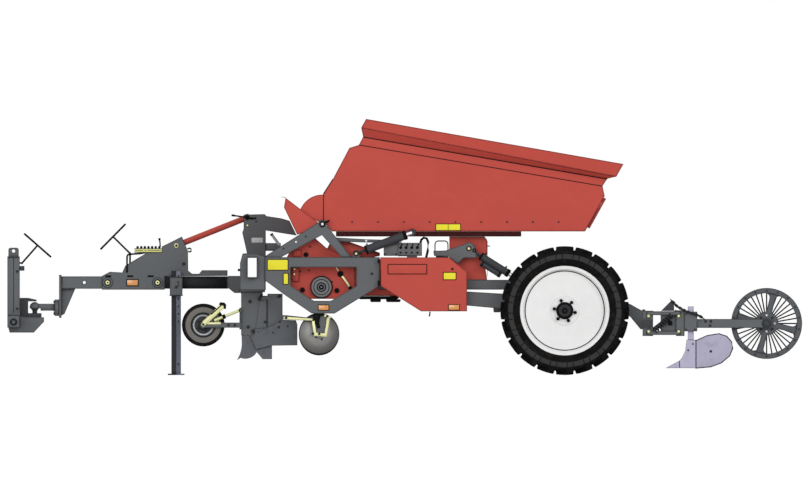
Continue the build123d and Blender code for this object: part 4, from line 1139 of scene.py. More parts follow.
@dataclass
class MainWheels(Assembly):
    """The two main wheels: carcass, lugs, buttress ribs, hub and nuts."""

    axle: Flat = (1544, 622)
    middle: float = 1500
    tread: float = 588
    studs: float = 102.5
    lugs: int = 20

    # half of the carcass from the outside bead inwards, as (radius, half width)
    carcass = (
        (431.5, 95), (437, 101), (447, 105), (456, 111), (461, 115), (467, 113.5), (480, 115.5), (500, 118),
        (522, 120), (540, 119.5), (549, 118), (552, 119.5), (557, 119), (560, 116.5), (568, 112), (577, 104),
        (584, 90), (587, 66), (588, 34), (588, 0),
    )
    liner = ((578, 0), (574, 60), (562, 92), (530, 106), (490, 103), (455, 92), (438, 86))

    # one lug from the crown to the shoulder: across the tread, along it, half length, top and root radius
    lug_line = (
        (1, -59, 22, 619, 584), (6, -54, 23, 621.8, 584), (30, -26, 23, 621.8, 583), (60, 10, 25, 620.5, 580),
        (88, 38, 28, 617, 573), (104, 50, 31, 612, 563), (119, 54, 31, 602, 550), (122, 54, 28, 580, 546),
    )

    def profile(self) -> list[Flat]:
        """Closed section of the carcass.

        Returns:
            Points as (radius, half width).
        """
        outside = list(self.carcass) + [(r, -w) for r, w in reversed(self.carcass[:-1])]
        inside = [(r, -w) for r, w in reversed(self.liner)] + list(self.liner[1:])
        return outside + inside

    def lug(self, side: int, half: int) -> Shape:
        """One lug at the top of a wheel whose centre is the origin.

        Args:
            side: the wheel's side of the machine, which turns the lug's slope.
            half: which half of the tread it lies on.

        Returns:
            The lug's shape.
        """
        sections = []
        for across, along, length, top, root in self.lug_line:
            corners = []
            for reach, radius in (
                (length + 4, root), (length, top - 3), (length - 3, top), (3 - length, top),
                (-length, top - 3), (-length - 4, root),
            ):
                angle = side * (along + reach) / self.tread
                corners.append((radius * math.sin(angle), half * across, radius * math.cos(angle)))
            sections.append(corners)
        return Shape().loft(sections)

    def rib(self, side: int, half: int) -> Shape:
        """Thin buttress from a lug's outer end down the side wall.

        Args:
            side: -1 for the left and 1 for the right.
            half: which half of the tread it lies on, -1 or 1.

        Returns:
            The rib's shape.
        """
        made = Shape()
        for along in (24, 84):
            x = side * along
            made.loft([
                [(x - 5, half * 116, z), (x - 3, half * out, z), (x + 3, half * out, z),
                 (x + 5, half * 116, z)]
                for z, out in ((500, 118.6), (508, 122), (546, 122.4), (556, 120.5))])
        return made

    def build(self) -> None:
        """Builds both wheels."""
        ring, dark_ring = ring_repeater(Finish.TYRE), ring_repeater(Finish.PLASTIC_BLACK)
        for side in SIDES:
            word = SIDE_WORDS[side]
            body = f"main_wheel_{word}"
            centre = (self.axle[0], side * self.middle, self.axle[1])
            carcass = Shape().lathe(centre, ACROSS, self.profile(), 120)
            tyre = [carcass.piece(f"tyre_dressed_{word}", Finish.TYRE, body)]
            values = {"Count": self.lugs, "Start": 0.0, "Centre": Vector(centre) * MM}
            for half in SIDES:
                tyre.append(repeat(ring, self.lug(side, half), f"lugs_{word}_{half}", values, Finish.TYRE,
                                   body))
            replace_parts(join(f"tyre_dressed_{word}", tyre), f"tyre_{word}")
            ribs = [repeat(dark_ring, self.rib(side, half), f"ribs_{word}_{half}", values,
                           Finish.PLASTIC_BLACK, body) for half in SIDES]
            join(f"tyre_ribs_{word}", ribs)
            self.hub(side, centre, body)
        log.info("main wheels: %d lugs each", 2 * self.lugs)

    def hub(self, side: int, centre: Point, body: str) -> None:
        """Hub flange, cap, nuts with their straps and the ring seam of one wheel.

        Args:
            side: -1 for the left and 1 for the right.
            centre: the wheel's centre.
            body: the body that it rides on.
        """
        out = side * ACROSS
        word = SIDE_WORDS[side]
        dark, grey = Shape(), Shape()
        for shape, profile, steps in (
            (dark, [(0, 78), (80, 78), (84, 80), (84, 84), (66, 87), (62, 92), (0, 92)], 40),
            (grey, [(0, 91), (58, 91), (56, 97), (48, 100), (40, 97), (40, 94), (0, 94)], 40),
            (dark, [(0, 93), (30, 93), (30, 106), (26, 110), (0, 110)], 32),
        ):
            shape.lathe(centre, out, profile, steps, False)
        grey.disc(Vector(centre) + out * 109, out, 9, 4, 20)
        for number in range(6):
            angle = math.radians(50 + 60 * number)
            way = Vector((math.cos(angle), 0, math.sin(angle)))
            nut = Vector(centre) + way * self.studs + out * 50
            dark.disc(nut, out, 16, 27, 20, 3)
            dark.bar(Vector(centre) + way * 70 + out * 60, nut + out * 10, 6, 8)
        dark.lathe(centre, out, [(377, 43), (378.5, 46.5), (386, 46.5), (387.5, 43)], 96)
        dark.piece(f"hub_cap_{word}", Finish.PLASTIC_BLACK, body)
        grey.piece(f"hub_rings_{word}", Finish.DARK_GREY, body)


@dataclass
class GaugeWheels(Assembly):
    """The four gauge wheels: tyre with cross bars, rim, hub and bolts."""

    axle: Flat = (-1944, 483)
    outer: float = 207
    studs: float = 64
    blocks: int = 26

    # the tyre's section from its bead to the crown, the rim's closed section and the pale ring on each side
    # of it, a painted highlight of the rim's curved flange, as (radius, distance from the middle)
    highlight_ring = ((84, 8), (86, 18), (98, 24), (103, 22), (103, 15), (90, 10))
    profile = (
        (112, 40), (120, 46), (135, 50), (165, 50), (182, 47), (193, 40), (198, 26), (199, 0),
    )
    rim = (
        (13.1, 30), (38, 30), (44, 12), (84, 9), (90, 16), (104, 20), (104, 42), (114, 44), (114, 40),
        (110, 36), (110, -36), (114, -40), (114, -44), (104, -42), (104, -4), (84, -6), (46, -6), (40, -30),
        (13.1, -30),
    )

    def build(self) -> None:
        """Builds the wheels in all rows."""
        ring = ring_repeater(Finish.SMALL_TYRE)
        for number, row in enumerate(ROWS, start=1):
            body = f"gauge_wheel_{number}"
            centre = (self.axle[0], row, self.axle[1])
            section = list(self.profile) + [(r, -w) for r, w in reversed(self.profile[:-1])]
            tyre = [Shape().lathe(centre, ACROSS, section, 64).piece("carcass", Finish.SMALL_TYRE, body)]
            for half, start in ((-1, 0.0), (1, math.pi / self.blocks)):
                values = {"Count": self.blocks, "Start": start, "Centre": Vector(centre) * MM}
                tyre.append(repeat(ring, self.block(half), f"blocks_{half}", values, Finish.SMALL_TYRE, body))
            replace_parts(join(f"gauge_tyre_{number}", tyre), f"gauge_wheel_{number}")
            Shape().lathe(centre, ACROSS, self.rim, 48).piece(f"gauge_rim_{number}", Finish.DARK_GREY, body)
            # pale ring on each side of the rim: a painted highlight of its curved flange
            pale = Shape()
            for side in SIDES:
                pale.lathe(centre, side * ACROSS, self.highlight_ring, 48)
            pale.piece(f"gauge_rim_ring_{number}", Finish.PLATE_BLANK, body)
            for step in range(5):
                angle = 2 * math.pi * step / 5
                spot = Vector((math.cos(angle), 0, math.sin(angle))) * self.studs
                self.bolts.add(body, BoltSize.M12, Vector(centre) + spot + ACROSS * 9, ACROSS)
                self.bolts.add(body, BoltSize.M12, Vector(centre) + spot - ACROSS * 6, -ACROSS)
        log.info("gauge wheels: %d", len(ROWS))

    def block(self, side: int) -> Shape:
        """One tread block at the top of a wheel whose centre is the origin.

        Args:
            side: -1 for the left and 1 for the right.

        Returns:
            The block's shape.
        """
        sections = []
        for along, across, half, top, root in (
            (-9, -2, 8, 207, 196), (2, 20, 8.5, 206, 195), (8, 38, 9, 203, 188), (8, 49, 9, 196, 184),
        ):
            corners = []
            for reach, radius in ((half + 2, root), (half, top), (-half, top), (-half - 2, root)):
                angle = (along + reach) / self.outer
                corners.append((radius * math.sin(angle), side * across, radius * math.cos(angle)))
            sections.append(corners)
        return Shape().loft(sections)


@dataclass
class ClosingDiscs(Assembly):
    """Bolts and bearing caps of the eight closing discs."""

    place: Flat = (-826, 395)
    offset: float = 190
    yaw: float = 18
    dish: float = 36
    bolts_out: float = 54

    def build(self) -> None:
        """Adds the fittings of each disc."""
        turn = math.radians(self.yaw)
        number = 0
        for row in ROWS:
            for side in SIDES:
                number += 1
                body = f"closing_disc_{number}"
                out = Vector((math.sin(turn), side * math.cos(turn), 0))
                along = Vector((math.cos(turn), -side * math.sin(turn), 0))
                centre = Vector((self.place[0], row + side * self.offset, self.place[1]))
                for step in range(5):
                    angle = 2 * math.pi * step / 5
                    way = along * math.cos(angle) + Vector((0, 0, math.sin(angle)))
                    spot = centre + out * self.dish + way * self.bolts_out
                    self.bolts.add(body, BoltSize.M8, spot, out)
                hollow = centre + out * (self.dish - 6)
                cap = [(0, 0), (46, 0), (44, 6), (24, 9), (20, 26), (14, 30), (0, 31)]
                made = Shape().lathe(hollow, -out, cap, 28, False)
                made.piece(f"disc_cap_{number}", Finish.DARK_GREY, body)
        log.info("closing discs: %d caps", number)


def carrier_sleeve(centre: Point, axis: Point) -> Shape:
    """Rubber sleeve round the ring of a hose carrier, which stands across an axis.

    Args:
        centre: the ring's centre.
        axis: the ring's axis.

    Returns:
        The sleeve's shape.
    """
    steps = [2 * math.pi * step / 12 for step in range(12)]
    section = [(165 + 9.5 * math.cos(angle), 9.5 * math.sin(angle)) for angle in steps]
    return Shape().lathe(centre, Vector(axis).normalized(), section, 64)


@dataclass
class Headstock(Assembly):
    """Collars, linch pins and the small brackets of the headstock."""

    mast: float = -3775
    pin_z: float = 512
    half: float = 482.5

    def build(self) -> None:
        """Adds the fittings."""
        body = "headstock"
        collars, clips, rings = Shape(), Shape(), Shape()
        for side in SIDES:
            out = side * ACROSS
            foot = (self.mast, side * self.half, self.pin_z)
            collars.lathe(foot, out, [(18.6, 0), (36, 0), (36, 7), (33, 9), (18.6, 9)], 28)
            rings.lathe(foot, out, [(25, 9.5), (25, 11), (31, 11), (31, 9.5)], 28)
            tip = Vector((self.mast, side * (self.half + 76), self.pin_z))
            clips.bar(tip + Vector((0, 0, 26)), tip - Vector((0, 0, 26)), 5, 10)
            turns = [math.pi * step / 9 for step in range(10)]
            hoop = [tip + Vector((22 * math.sin(turn), 0, 26 * math.cos(turn))) for turn in turns]
            clips.tube(hoop, 2.4, 6)
        collars.piece("link_collars", Finish.DARK_GREY, body)
        rings.piece("link_collar_rings", Finish.PLASTIC_BLACK, body)
        clips.piece("linch_pins", Finish.BLACKENED, body)
        plates = Shape()
        for side in SIDES:
            plates.block((-3715, side * 160 - 30, 1007), (-3670, side * 160 + 30, 1053))
            y = side * 160
            plates.prism([(-3832, 1140), (-3718, 1140), (-3718, 1128), (-3832, 1128)], y - 44, y + 44)
        plates.piece("mast_brackets", Finish.DARK_GREY, body, bevel=1.5)
        self.bolts.flank(body, BoltSize.M12, [(-3740, 640), (-3740, 1000)], 200)
        seams = Shape()
        for side in SIDES:
            y = side * 200
            seams.prism([(-3777, 600), (-3772, 600), (-3772, 1128), (-3777, 1128)], y, y + side * 1.5)
        seams.piece("mast_seams", Finish.PLASTIC_BLACK, body)
        sleeve = carrier_sleeve((-3543, 0, 1252), (150, 0, 171))
        sleeve.piece("carrier_sleeve_front", Finish.PLASTIC_BLACK, body)
        log.info("headstock fittings")


@dataclass
class Drawbar(Assembly):
    """Fittings of the gooseneck, the drawbar, the coupler rack and the jack."""

    cheek: float = 75.4
    beam_half: float = 60

    def build(self) -> None:
        """Adds the fittings."""
        self.gooseneck()
        self.cheeks()
        self.levers()
        self.rack()
        self.jack()
        log.info("drawbar fittings")

    def gooseneck(self) -> None:
        """Bolts of the coupling flange, weld seams and the beam's side plates."""
        for step in range(8):
            angle = math.pi * (step + 0.5) / 4
            place = (-3377, 60 * math.cos(angle), 650 + 60 * math.sin(angle))
            self.bolts.add("frame", BoltSize.M16, place, Vector((-1, 0, 0)))
        plates = Shape()
        for side in SIDES:
            y = side * self.beam_half
            plates.prism([(-2314, 836), (-1716, 836), (-1716, 951), (-2314, 951)], y + side * 0.3,
                         y + side * 6)
        plates.piece("beam_plates", Finish.BEAM_DARK, "frame", bevel=1.5)
        seams = Shape()
        for side in SIDES:
            seams.tube([(-3311, side * 11, 590 + 24 * k) for k in range(11)], 4.5, 8)
            seams.tube([(-3310, side * 60, 836 + 19 * k) for k in range(7)], 5, 8)
        seams.piece("gooseneck_welds", Finish.FRAME_GREY, "frame")

    def cheeks(self) -> None:
        """Bosses, slots and reflectors of the cheeks, and the brace's pins."""
        bosses, dark, lenses, zinc = Shape(), Shape(), Shape(), Shape()
        for side in SIDES:
            out = side * ACROSS
            y = side * self.cheek
            for x in (-2868, -2386):
                bosses.lathe((x, y, 893), out, [(0, 0), (52, 0), (52, 6), (49, 9), (0, 9)], 36, False)
                dark.lathe((x, y, 893), out, [(0, 8), (31, 8), (31, 12), (0, 12)], 32, False)
                zinc.lathe((x, y, 893), out, [(0, 11), (22, 11), (21, 16), (0, 16)], 24, False)
                dark.disc((x, y + side * 15, 893), out, 8, 5, 16)
            for x in (-2862, -2650, -2452):
                dark.prism([(x - 30, 950), (x - 25, 945), (x + 25, 945), (x + 30, 950), (x + 30, 958),
                            (x + 25, 963), (x - 25, 963), (x - 30, 958)], y, y + side * 1.6)
            dark.prism([(-2687, 857), (-2568, 857), (-2568, 926), (-2687, 926)], y, y + side * 4)
            lenses.prism([(-2678, 866), (-2577, 866), (-2577, 917), (-2678, 917)], y + side * 3, y + side * 8)
            zinc.lathe((-2204, y, 1249), out, [(0, 0), (24, 0), (24, 6), (20, 9), (0, 9)], 24, False)
            dark.lathe((-2204, y, 1249), out, [(0, 8), (12, 8), (12, 13), (0, 13)], 16, False)
            dark.disc((-1520, side * 100, 1521), out, 22, 7, 24, 2)
        bosses.piece("drawbar_bosses", Finish.FRAME_GREY, "frame")
        dark.piece("drawbar_slots", Finish.PLASTIC_BLACK, "frame")
        lenses.piece("drawbar_reflectors", Finish.ORANGE_REFLEX, "frame", bevel=1.5)
        zinc.piece("drawbar_pins", Finish.ZINC, "frame")
        self.bolts.flank("frame", BoltSize.M16, [(-2133, 1073)], self.cheek)

    def levers(self) -> None:
        """Small lever, hooks for the hoses and the hose that runs up the rear carrier to the rack."""
        dark = Shape().tube([(-2360, -58, 1236), (-2362, -60, 1275), (-2366, -62, 1316)], 7)
        dark.bar((-2366, -62, 1300), (-2368, -62, 1322), 11)
        hook = [(-2098, 1216), (-2078, 1224), (-2062, 1216), (-2060, 1198), (-2074, 1188), (-2090, 1194)]
        for side in SIDES:
            dark.tube([(x, side * 68, z) for x, z in hook], 8)
        dark.tube([(-2680, -80, 990), (-2680, -80, 1140), (-2674, -78, 1158), (-2655, -76, 1166),
                   (-2560, -72, 1172), (-2490, -60, 1184)], 9)
        dark.tube([(-2651, -8, 1170), (-2660, -12, 1180), (-2700, -14, 1222)], 8)
        dark.piece("hose_pieces", Finish.PLASTIC_BLACK, "frame")
        sleeve = carrier_sleeve((-2815, 0, 1336), (-164, 0, 162))
        sleeve.piece("carrier_sleeve_rear", Finish.PLASTIC_BLACK, "frame")

    def rack(self) -> None:
        """Yellow rack with its seven couplers and their caps."""
        low, high = 1186, 1217
        base = Shape().prism([(-2607.3, low), (-2345.3, low), (-2345.3, 1213), (-2349, high), (-2603, high),
                              (-2607.3, 1213)], -75, 75)
        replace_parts(base.piece("rack_base", Finish.RACK_YELLOW, "frame", bevel=1.5), "coupler_rack")
        seam = Shape()
        for side in SIDES:
            for start, end in ((-2600, -2524), (-2512, -2494), (-2482, -2352)):
                seam.block((start, side * 75 - 1, 1199), (end, side * 75 + 1, 1204))
            seam.block((-2609, side * 75 - 1.5, 1217), (-2343, side * 75 + 1.5, 1223))
            seam.block((-2609, side * 75 - 1.5, 1181), (-2343, side * 75 + 1.5, 1187))
        seam.piece("rack_slots", Finish.BLACKENED, "frame")
        tree = line_repeater(Finish.PLASTIC_BLACK)
        for side in SIDES:
            cap = Shape().lathe((-2578, side * 22, 1233), side * ACROSS, [
                (0, 0), (10, 0), (13, 3), (13, 48), (11, 52), (0, 52)], 18, False)
            cap.disc((-2578, side * 60, 1216), Vector((0, 0, 1)), 8, 16, 12)
            values = {"Count": 7, "Step": (0.035, 0, 0)}
            repeat(tree, cap, f"coupler_caps_{SIDE_WORDS[side]}", values, Finish.PLASTIC_BLACK, "frame")

    def jack(self) -> None:
        """Collar bands and locking pin of the jack."""
        x, y = -2206, -136.6
        collar = Shape()
        for low in (764, 940):
            collar.block((x - 65, y - 65, low), (x + 65, y - 61, low + 10))
            collar.block((x - 65, y - 61, low), (x - 61, y + 61, low + 10))
            collar.block((x + 61, y - 61, low), (x + 65, y + 61, low + 10))
        collar.piece("sleeve_bands", Finish.DARK_GREY, "frame", bevel=1)
        pin = Shape().bar((x, y - 76, 850), (x, y - 60, 850), 13)
        pin.tube([(x, y - 70, 850), (x + 18, y - 72, 862), (x + 22, y - 73, 890), (x + 14, y - 72, 908)], 4)
        pin.piece("jack_pin", Finish.BLACKENED, "frame")


@dataclass
class Tower(Assembly):
    """Fittings of the tower and the crossbeam."""

    def build(self) -> None:
        """Adds bolts, plate, handle and levers."""
        self.bolts.flank("frame", BoltSize.M8, [(-1439, 1516), (-1434, 1483)], 100)
        self.bolts.flank("frame", BoltSize.M12, [(-1518, 1445)], 100, Finish.ZINC)
        plate, handle, block, dark = Shape(), Shape(), Shape(), Shape()
        for side in SIDES:
            out = side * ACROSS
            plate.prism([(-1479, 1277), (-1368, 1277), (-1368, 1326), (-1479, 1326)], side * 100, side * 103)
            dark.disc((-1600, side * 1416, 1014), out, 13, 10, 16)
            dark.prism([(-1402, 748), (-1378, 748), (-1366, 780), (-1392, 786)], side * 1400, side * 1424)
        handle.bar((-1281, -92, 1352), (-1206, -92, 1250), 14)
        dark.bar((-1290, -92, 1364), (-1280, -92, 1350), 16)
        block.block((-1341, -92, 1198), (-1196, 92, 1274))
        plate.piece("tower_plates", Finish.PLATE_BLANK, "frame", bevel=0.8)
        block.piece("tower_block", Finish.FRAME_GREY, "frame", bevel=2)
        handle.piece("tower_handle", Finish.TUBE_GREY, "frame")
        dark.tube([(-1470, -106, 1508), (-1540, -108, 1524), (-1640, -110, 1538)], 8)
        dark.bar((-1640, -110, 1538), (-1672, -110, 1543), 10)
        dark.tube([(-1530, -108, 1500), (-1490, -110, 1516), (-1440, -108, 1512)], 7)
        dark.piece("tower_levers", Finish.PLASTIC_BLACK, "frame")
        log.info("tower fittings")


@dataclass
class RowUnits(Assembly):
    """Fittings of openers, gauge arms, disc arms and planting units in each row."""

    hub: Flat = (-804, 849)
    cheek: float = 158
    shoe: float = 52.3
    disc_arm: float = 272
    zinc: Shape = field(default_factory=Shape)
    dark: Shape = field(default_factory=Shape)
    belts: Shape = field(default_factory=Shape)
    hubs: Shape = field(default_factory=Shape)
    red: Shape = field(default_factory=Shape)

    def build(self) -> None:
        """Adds the fittings of every row."""
        for row in ROWS:
            self.opener(row)
            self.guard(row)
            self.gauge(row)
            self.discs(row)
            self.unit(row)
            self.crank(row - self.cheek)
            self.casing(row)
            for lane in (-100, 0, 100):
                self.belt(row + lane)
        self.zinc.piece("row_zinc_fittings", Finish.ZINC, "frame", bevel=0.8)
        self.dark.piece("row_dark_fittings", Finish.PLASTIC_BLACK, "frame", bevel=0.8)
        self.belts.piece("planting_belts", Finish.BELT, "frame")
        self.hubs.piece("drive_hub_rings", Finish.HUB_GREY, "frame")
        self.red.piece("unit_brackets", Finish.RED, "frame", bevel=1)
        log.info("row units: %d", len(ROWS))

    def guard(self, row: float) -> None:
        """Plates between the leg and the shoe plates of one opener, with their seams.

        Args:
            row: y of the row's middle.
        """
        plate = Shape()
        seams = (((-1330, 449), (-1330, 760)), ((-1372, 762), (-1200, 756)), ((-1424, 446), (-1200, 452)))
        for side in SIDES:
            y = row + side * 44
            plate.prism([(-1440, 446), (-1200, 452), (-1200, 756), (-1388, 762)], y, y + side * 5)
            for (x, z), (far, top) in seams:
                self.dark.bar((x, y + side * 4, z), (far, y + side * 4, top), 4.5, 8)
        plate.piece(f"opener_guard_{ROWS.index(row) + 1}", Finish.PLATE_GREY, "frame", bevel=1)

    def opener(self, row: float) -> None:
        """Bolts of one opener's leg, linkage and shoe.

        Args:
            row: y of the row's middle.
        """
        shoe = [(-1400, 735), (-1215, 759), (-1460, 424), (-1215, 461)]
        self.bolts.flank("frame", BoltSize.M16, [(-1493, 709), (-1511, 464)], 40, middle=row)
        self.bolts.flank("frame", BoltSize.M12, [(-1540, 907)], 55, middle=row)
        self.bolts.flank("frame", BoltSize.M12, [(-1407, 907)], 55, Finish.BRIGHT, row)
        self.bolts.flank("frame", BoltSize.M16, shoe, self.shoe, middle=row)
        self.bolts.flank("frame", BoltSize.M8, [(-1270, 410), (-1130, 470)], 60.6, middle=row)

    def gauge(self, row: float) -> None:
        """Turnbuckle, nuts and bolts of one gauge arm.

        Args:
            row: y of the row's middle.
        """
        out = math.copysign(1, row)
        y = row + out * 92.5
        face = Vector((0, out, 0))
        zinc, dark = self.zinc, self.dark
        zinc.bar((-1840, y + out * 16, 526), (-1600, y + out * 16, 621), 14)
        dark.bar((-1758, y + out * 16, 558), (-1730, y + out * 16, 569), 22, 8)
        zinc.prism([(-1950, 500), (-1930, 476), (-1900, 498), (-1735, 655), (-1775, 692)], y, y + out * 6)
        dark.bar((-1868, y + out * 5, 585), (-1772, y + out * 5, 672), 6, 8)
        dark.prism([(-1795, 684), (-1778, 704), (-1738, 698), (-1722, 678), (-1726, 636), (-1746, 640),
                    (-1748, 670), (-1782, 674)], y, y + out * 9)
        zinc.bar((-1700, y + out * 12, 581), (-1640, y + out * 12, 605), 14, 6)
        for x, z in ((-1944, 489), (-1812, 525), (-1600, 623)):
            self.bolts.add("frame", BoltSize.M12, (x, row + out * 92.3, z), face)
        for x, z in ((-1700, 482), (-1640, 482)):
            self.bolts.add("frame", BoltSize.M12, (x, row + out * 84.3, z), face)
        dark.disc((-1944, row - out * 61, 483), -face, 24, 12)

    def discs(self, row: float) -> None:
        """Clamps, levers and nuts of one pair of disc arms.

        Args:
            row: y of the row's middle.
        """
        for side in SIDES:
            y = row + side * self.disc_arm
            self.zinc.prism([(-1170, 538), (-890, 524), (-890, 546), (-1170, 564)], y + side * 0.2,
                            y + side * 5)
            self.zinc.prism([(-896, 520), (-878, 378), (-750, 366), (-722, 546), (-704, 560), (-772, 592),
                             (-780, 566), (-752, 552), (-772, 402), (-854, 410),
                             (-870, 524)], y, y + side * 11)
            self.dark.prism([(-886, 580), (-868, 584), (-862, 566), (-846, 566), (-838, 586), (-814, 578),
                             (-818, 552), (-826, 500), (-816, 456), (-846, 448), (-858, 500), (-866, 460),
                             (-886, 466), (-880, 520)], y, y + side * 10)
        self.bolts.flank("frame", BoltSize.M12, [(-1145, 553)], self.disc_arm + 5, middle=row)
        self.bolts.flank("frame", BoltSize.M12, [(-748, 566), (-886, 400)], self.disc_arm + 11, middle=row)
        self.bolts.flank("frame", BoltSize.M12, [(-1349, 512), (-1204, 512), (-1204, 763)], self.shoe,
                         middle=row)
        self.bolts.flank("frame", BoltSize.M16, [(-826, 396)], self.disc_arm, middle=row)

    def unit(self, row: float) -> None:
        """Hub covers and the ends of the rollers of one planting unit.

        Args:
            row: y of the row's middle.
        """
        for side in SIDES:
            out = side * ACROSS
            hub = (self.hub[0], row + side * 183, self.hub[1])
            self.hubs.lathe(hub, out, [(0, 0.4), (100, 0.4), (100, 2), (97, 5), (76, 5), (76, 3), (71, 3),
                                       (71, 7), (45, 7), (45, 4), (0, 4)], 44, False)
            for profile, steps in (
                ([(103.4, -24), (106, -24), (106, 3), (99, 6), (98, 0.6), (103.4, 0.6)], 44),
                ([(70, 2), (70, 6), (77, 6), (77, 2)], 40),
                ([(36, 3), (36, 9), (46, 9), (46, 3)], 32),
            ):
                self.dark.lathe(hub, out, profile, steps)
            self.dark.lathe(hub, out, [(0, 3), (25, 3), (25, 14), (21, 17), (0, 17)], 24, False)
            self.hubs.disc(Vector(hub) + out * 16, out, 11, 5, 18)
            cheek = row + side * self.cheek
            for x, z, radius in ((-987, 822, 27), (-655, 816, 27), (-953, 1163, 26)):
                star = []
                for step in range(16):
                    reach, angle = radius * (1 if step % 2 else 0.78), step * math.pi / 8
                    star.append((x + reach * math.cos(angle), z + reach * math.sin(angle)))
                self.dark.prism(star, cheek, cheek + side * 12)
        spots = [(-914, 1240), (-1006, 1000), (-1020, 965), (-925, 1010), (-700, 900)]
        self.bolts.flank("frame", BoltSize.M8, spots, self.cheek, middle=row)

    def crank(self, cheek: float) -> None:
        """Crank and brackets on the left cheek of one planting unit, whose face lies at y = cheek.

        Args:
            cheek: y of the cheek's face.
        """
        self.dark.disc((-621, cheek, 975), -ACROSS, 29, 14, 28, 3)
        for wide, tall, centres in (
            (9, 6, ((-604, 956, 16), (-560, 896, 18), (-528, 845, 18))),
            (8, 0, ((-664, 1046, 12), (-640, 1004, 12))),
        ):
            self.zinc.loft([
                [(x + wide, cheek - y, z + tall), (x - wide, cheek - y, z - tall),
                 (x - wide, cheek - y - 5, z - tall), (x + wide, cheek - y - 5, z + tall)]
                for x, z, y in centres])
        self.dark.disc((-528, cheek - 16, 841), -ACROSS, 17, 12, 16)
        self.red.prism([(-1090, 907), (-1020, 901), (-1017, 1036), (-1086, 1045)], cheek - 22, cheek)
        self.red.prism([(-1080, 1142), (-995, 1142), (-995, 1212), (-1080, 1204)], cheek - 14, cheek)
        for z in (975, 1022):
            self.bolts.add("frame", BoltSize.M12, (-1066, cheek - 22, z), -ACROSS, Finish.ZINC)

    def casing(self, row: float) -> None:
        """Upper casing of one unit behind the frame, and its return belt with the two feet.

        Args:
            row: y of the row's middle.
        """
        for side in SIDES:
            for outline in (
                [(-760, 1200), (-700, 1318), (-640, 1325), (-240, 1180), (-240, 1150), (-480, 1100)],
                [(-530, 1108), (-436, 1108), (-436, 905), (-470, 850), (-530, 830)],
                [(-67, 1146), (107, 1146), (107, 1188), (20, 1188), (-67, 1166)],
            ):
                self.red.prism(outline, row + side * 142, row + side * 149)
        for half, outline in (
            (88, [(-445, 738), (-430, 731), (-80, 731), (-58, 738), (-58, 762), (-445, 762)]),
            (80, [(-325, 704), (-238, 704), (-230, 714), (-230, 732), (-333, 732), (-333, 714)]),
            (80, [(-172, 704), (-48, 704), (-40, 714), (-40, 732), (-180, 732), (-180, 714)]),
            (140, [(-900, 744), (-885, 737), (-720, 737), (-703, 744), (-720, 757), (-885, 757)]),
        ):
            self.dark.prism(outline, row - half, row + half)

    def belt(self, y: float) -> None:
        """One flat belt round its three rollers.

        Args:
            y: y of the belt's middle.
        """
        centres = ((-987, 816), (-655, 816), (-950, 1240))
        rings = []
        for place, centre in enumerate(centres):
            before, after = centres[place - 1], centres[(place + 1) % 3]
            start = math.atan2(centre[1] - before[1], centre[0] - before[0]) - math.pi / 2
            end = math.atan2(after[1] - centre[1], after[0] - centre[0]) - math.pi / 2
            end += 2 * math.pi if end < start else 0
            for step in range(7):
                angle = start + (end - start) * step / 6
                rings.append([
                    (centre[0] + reach * math.cos(angle), y + across, centre[1] + reach * math.sin(angle))
                    for reach, across in ((29, -44), (34, -44), (34, 44), (29, 44))])
        self.belts.hoop(rings)


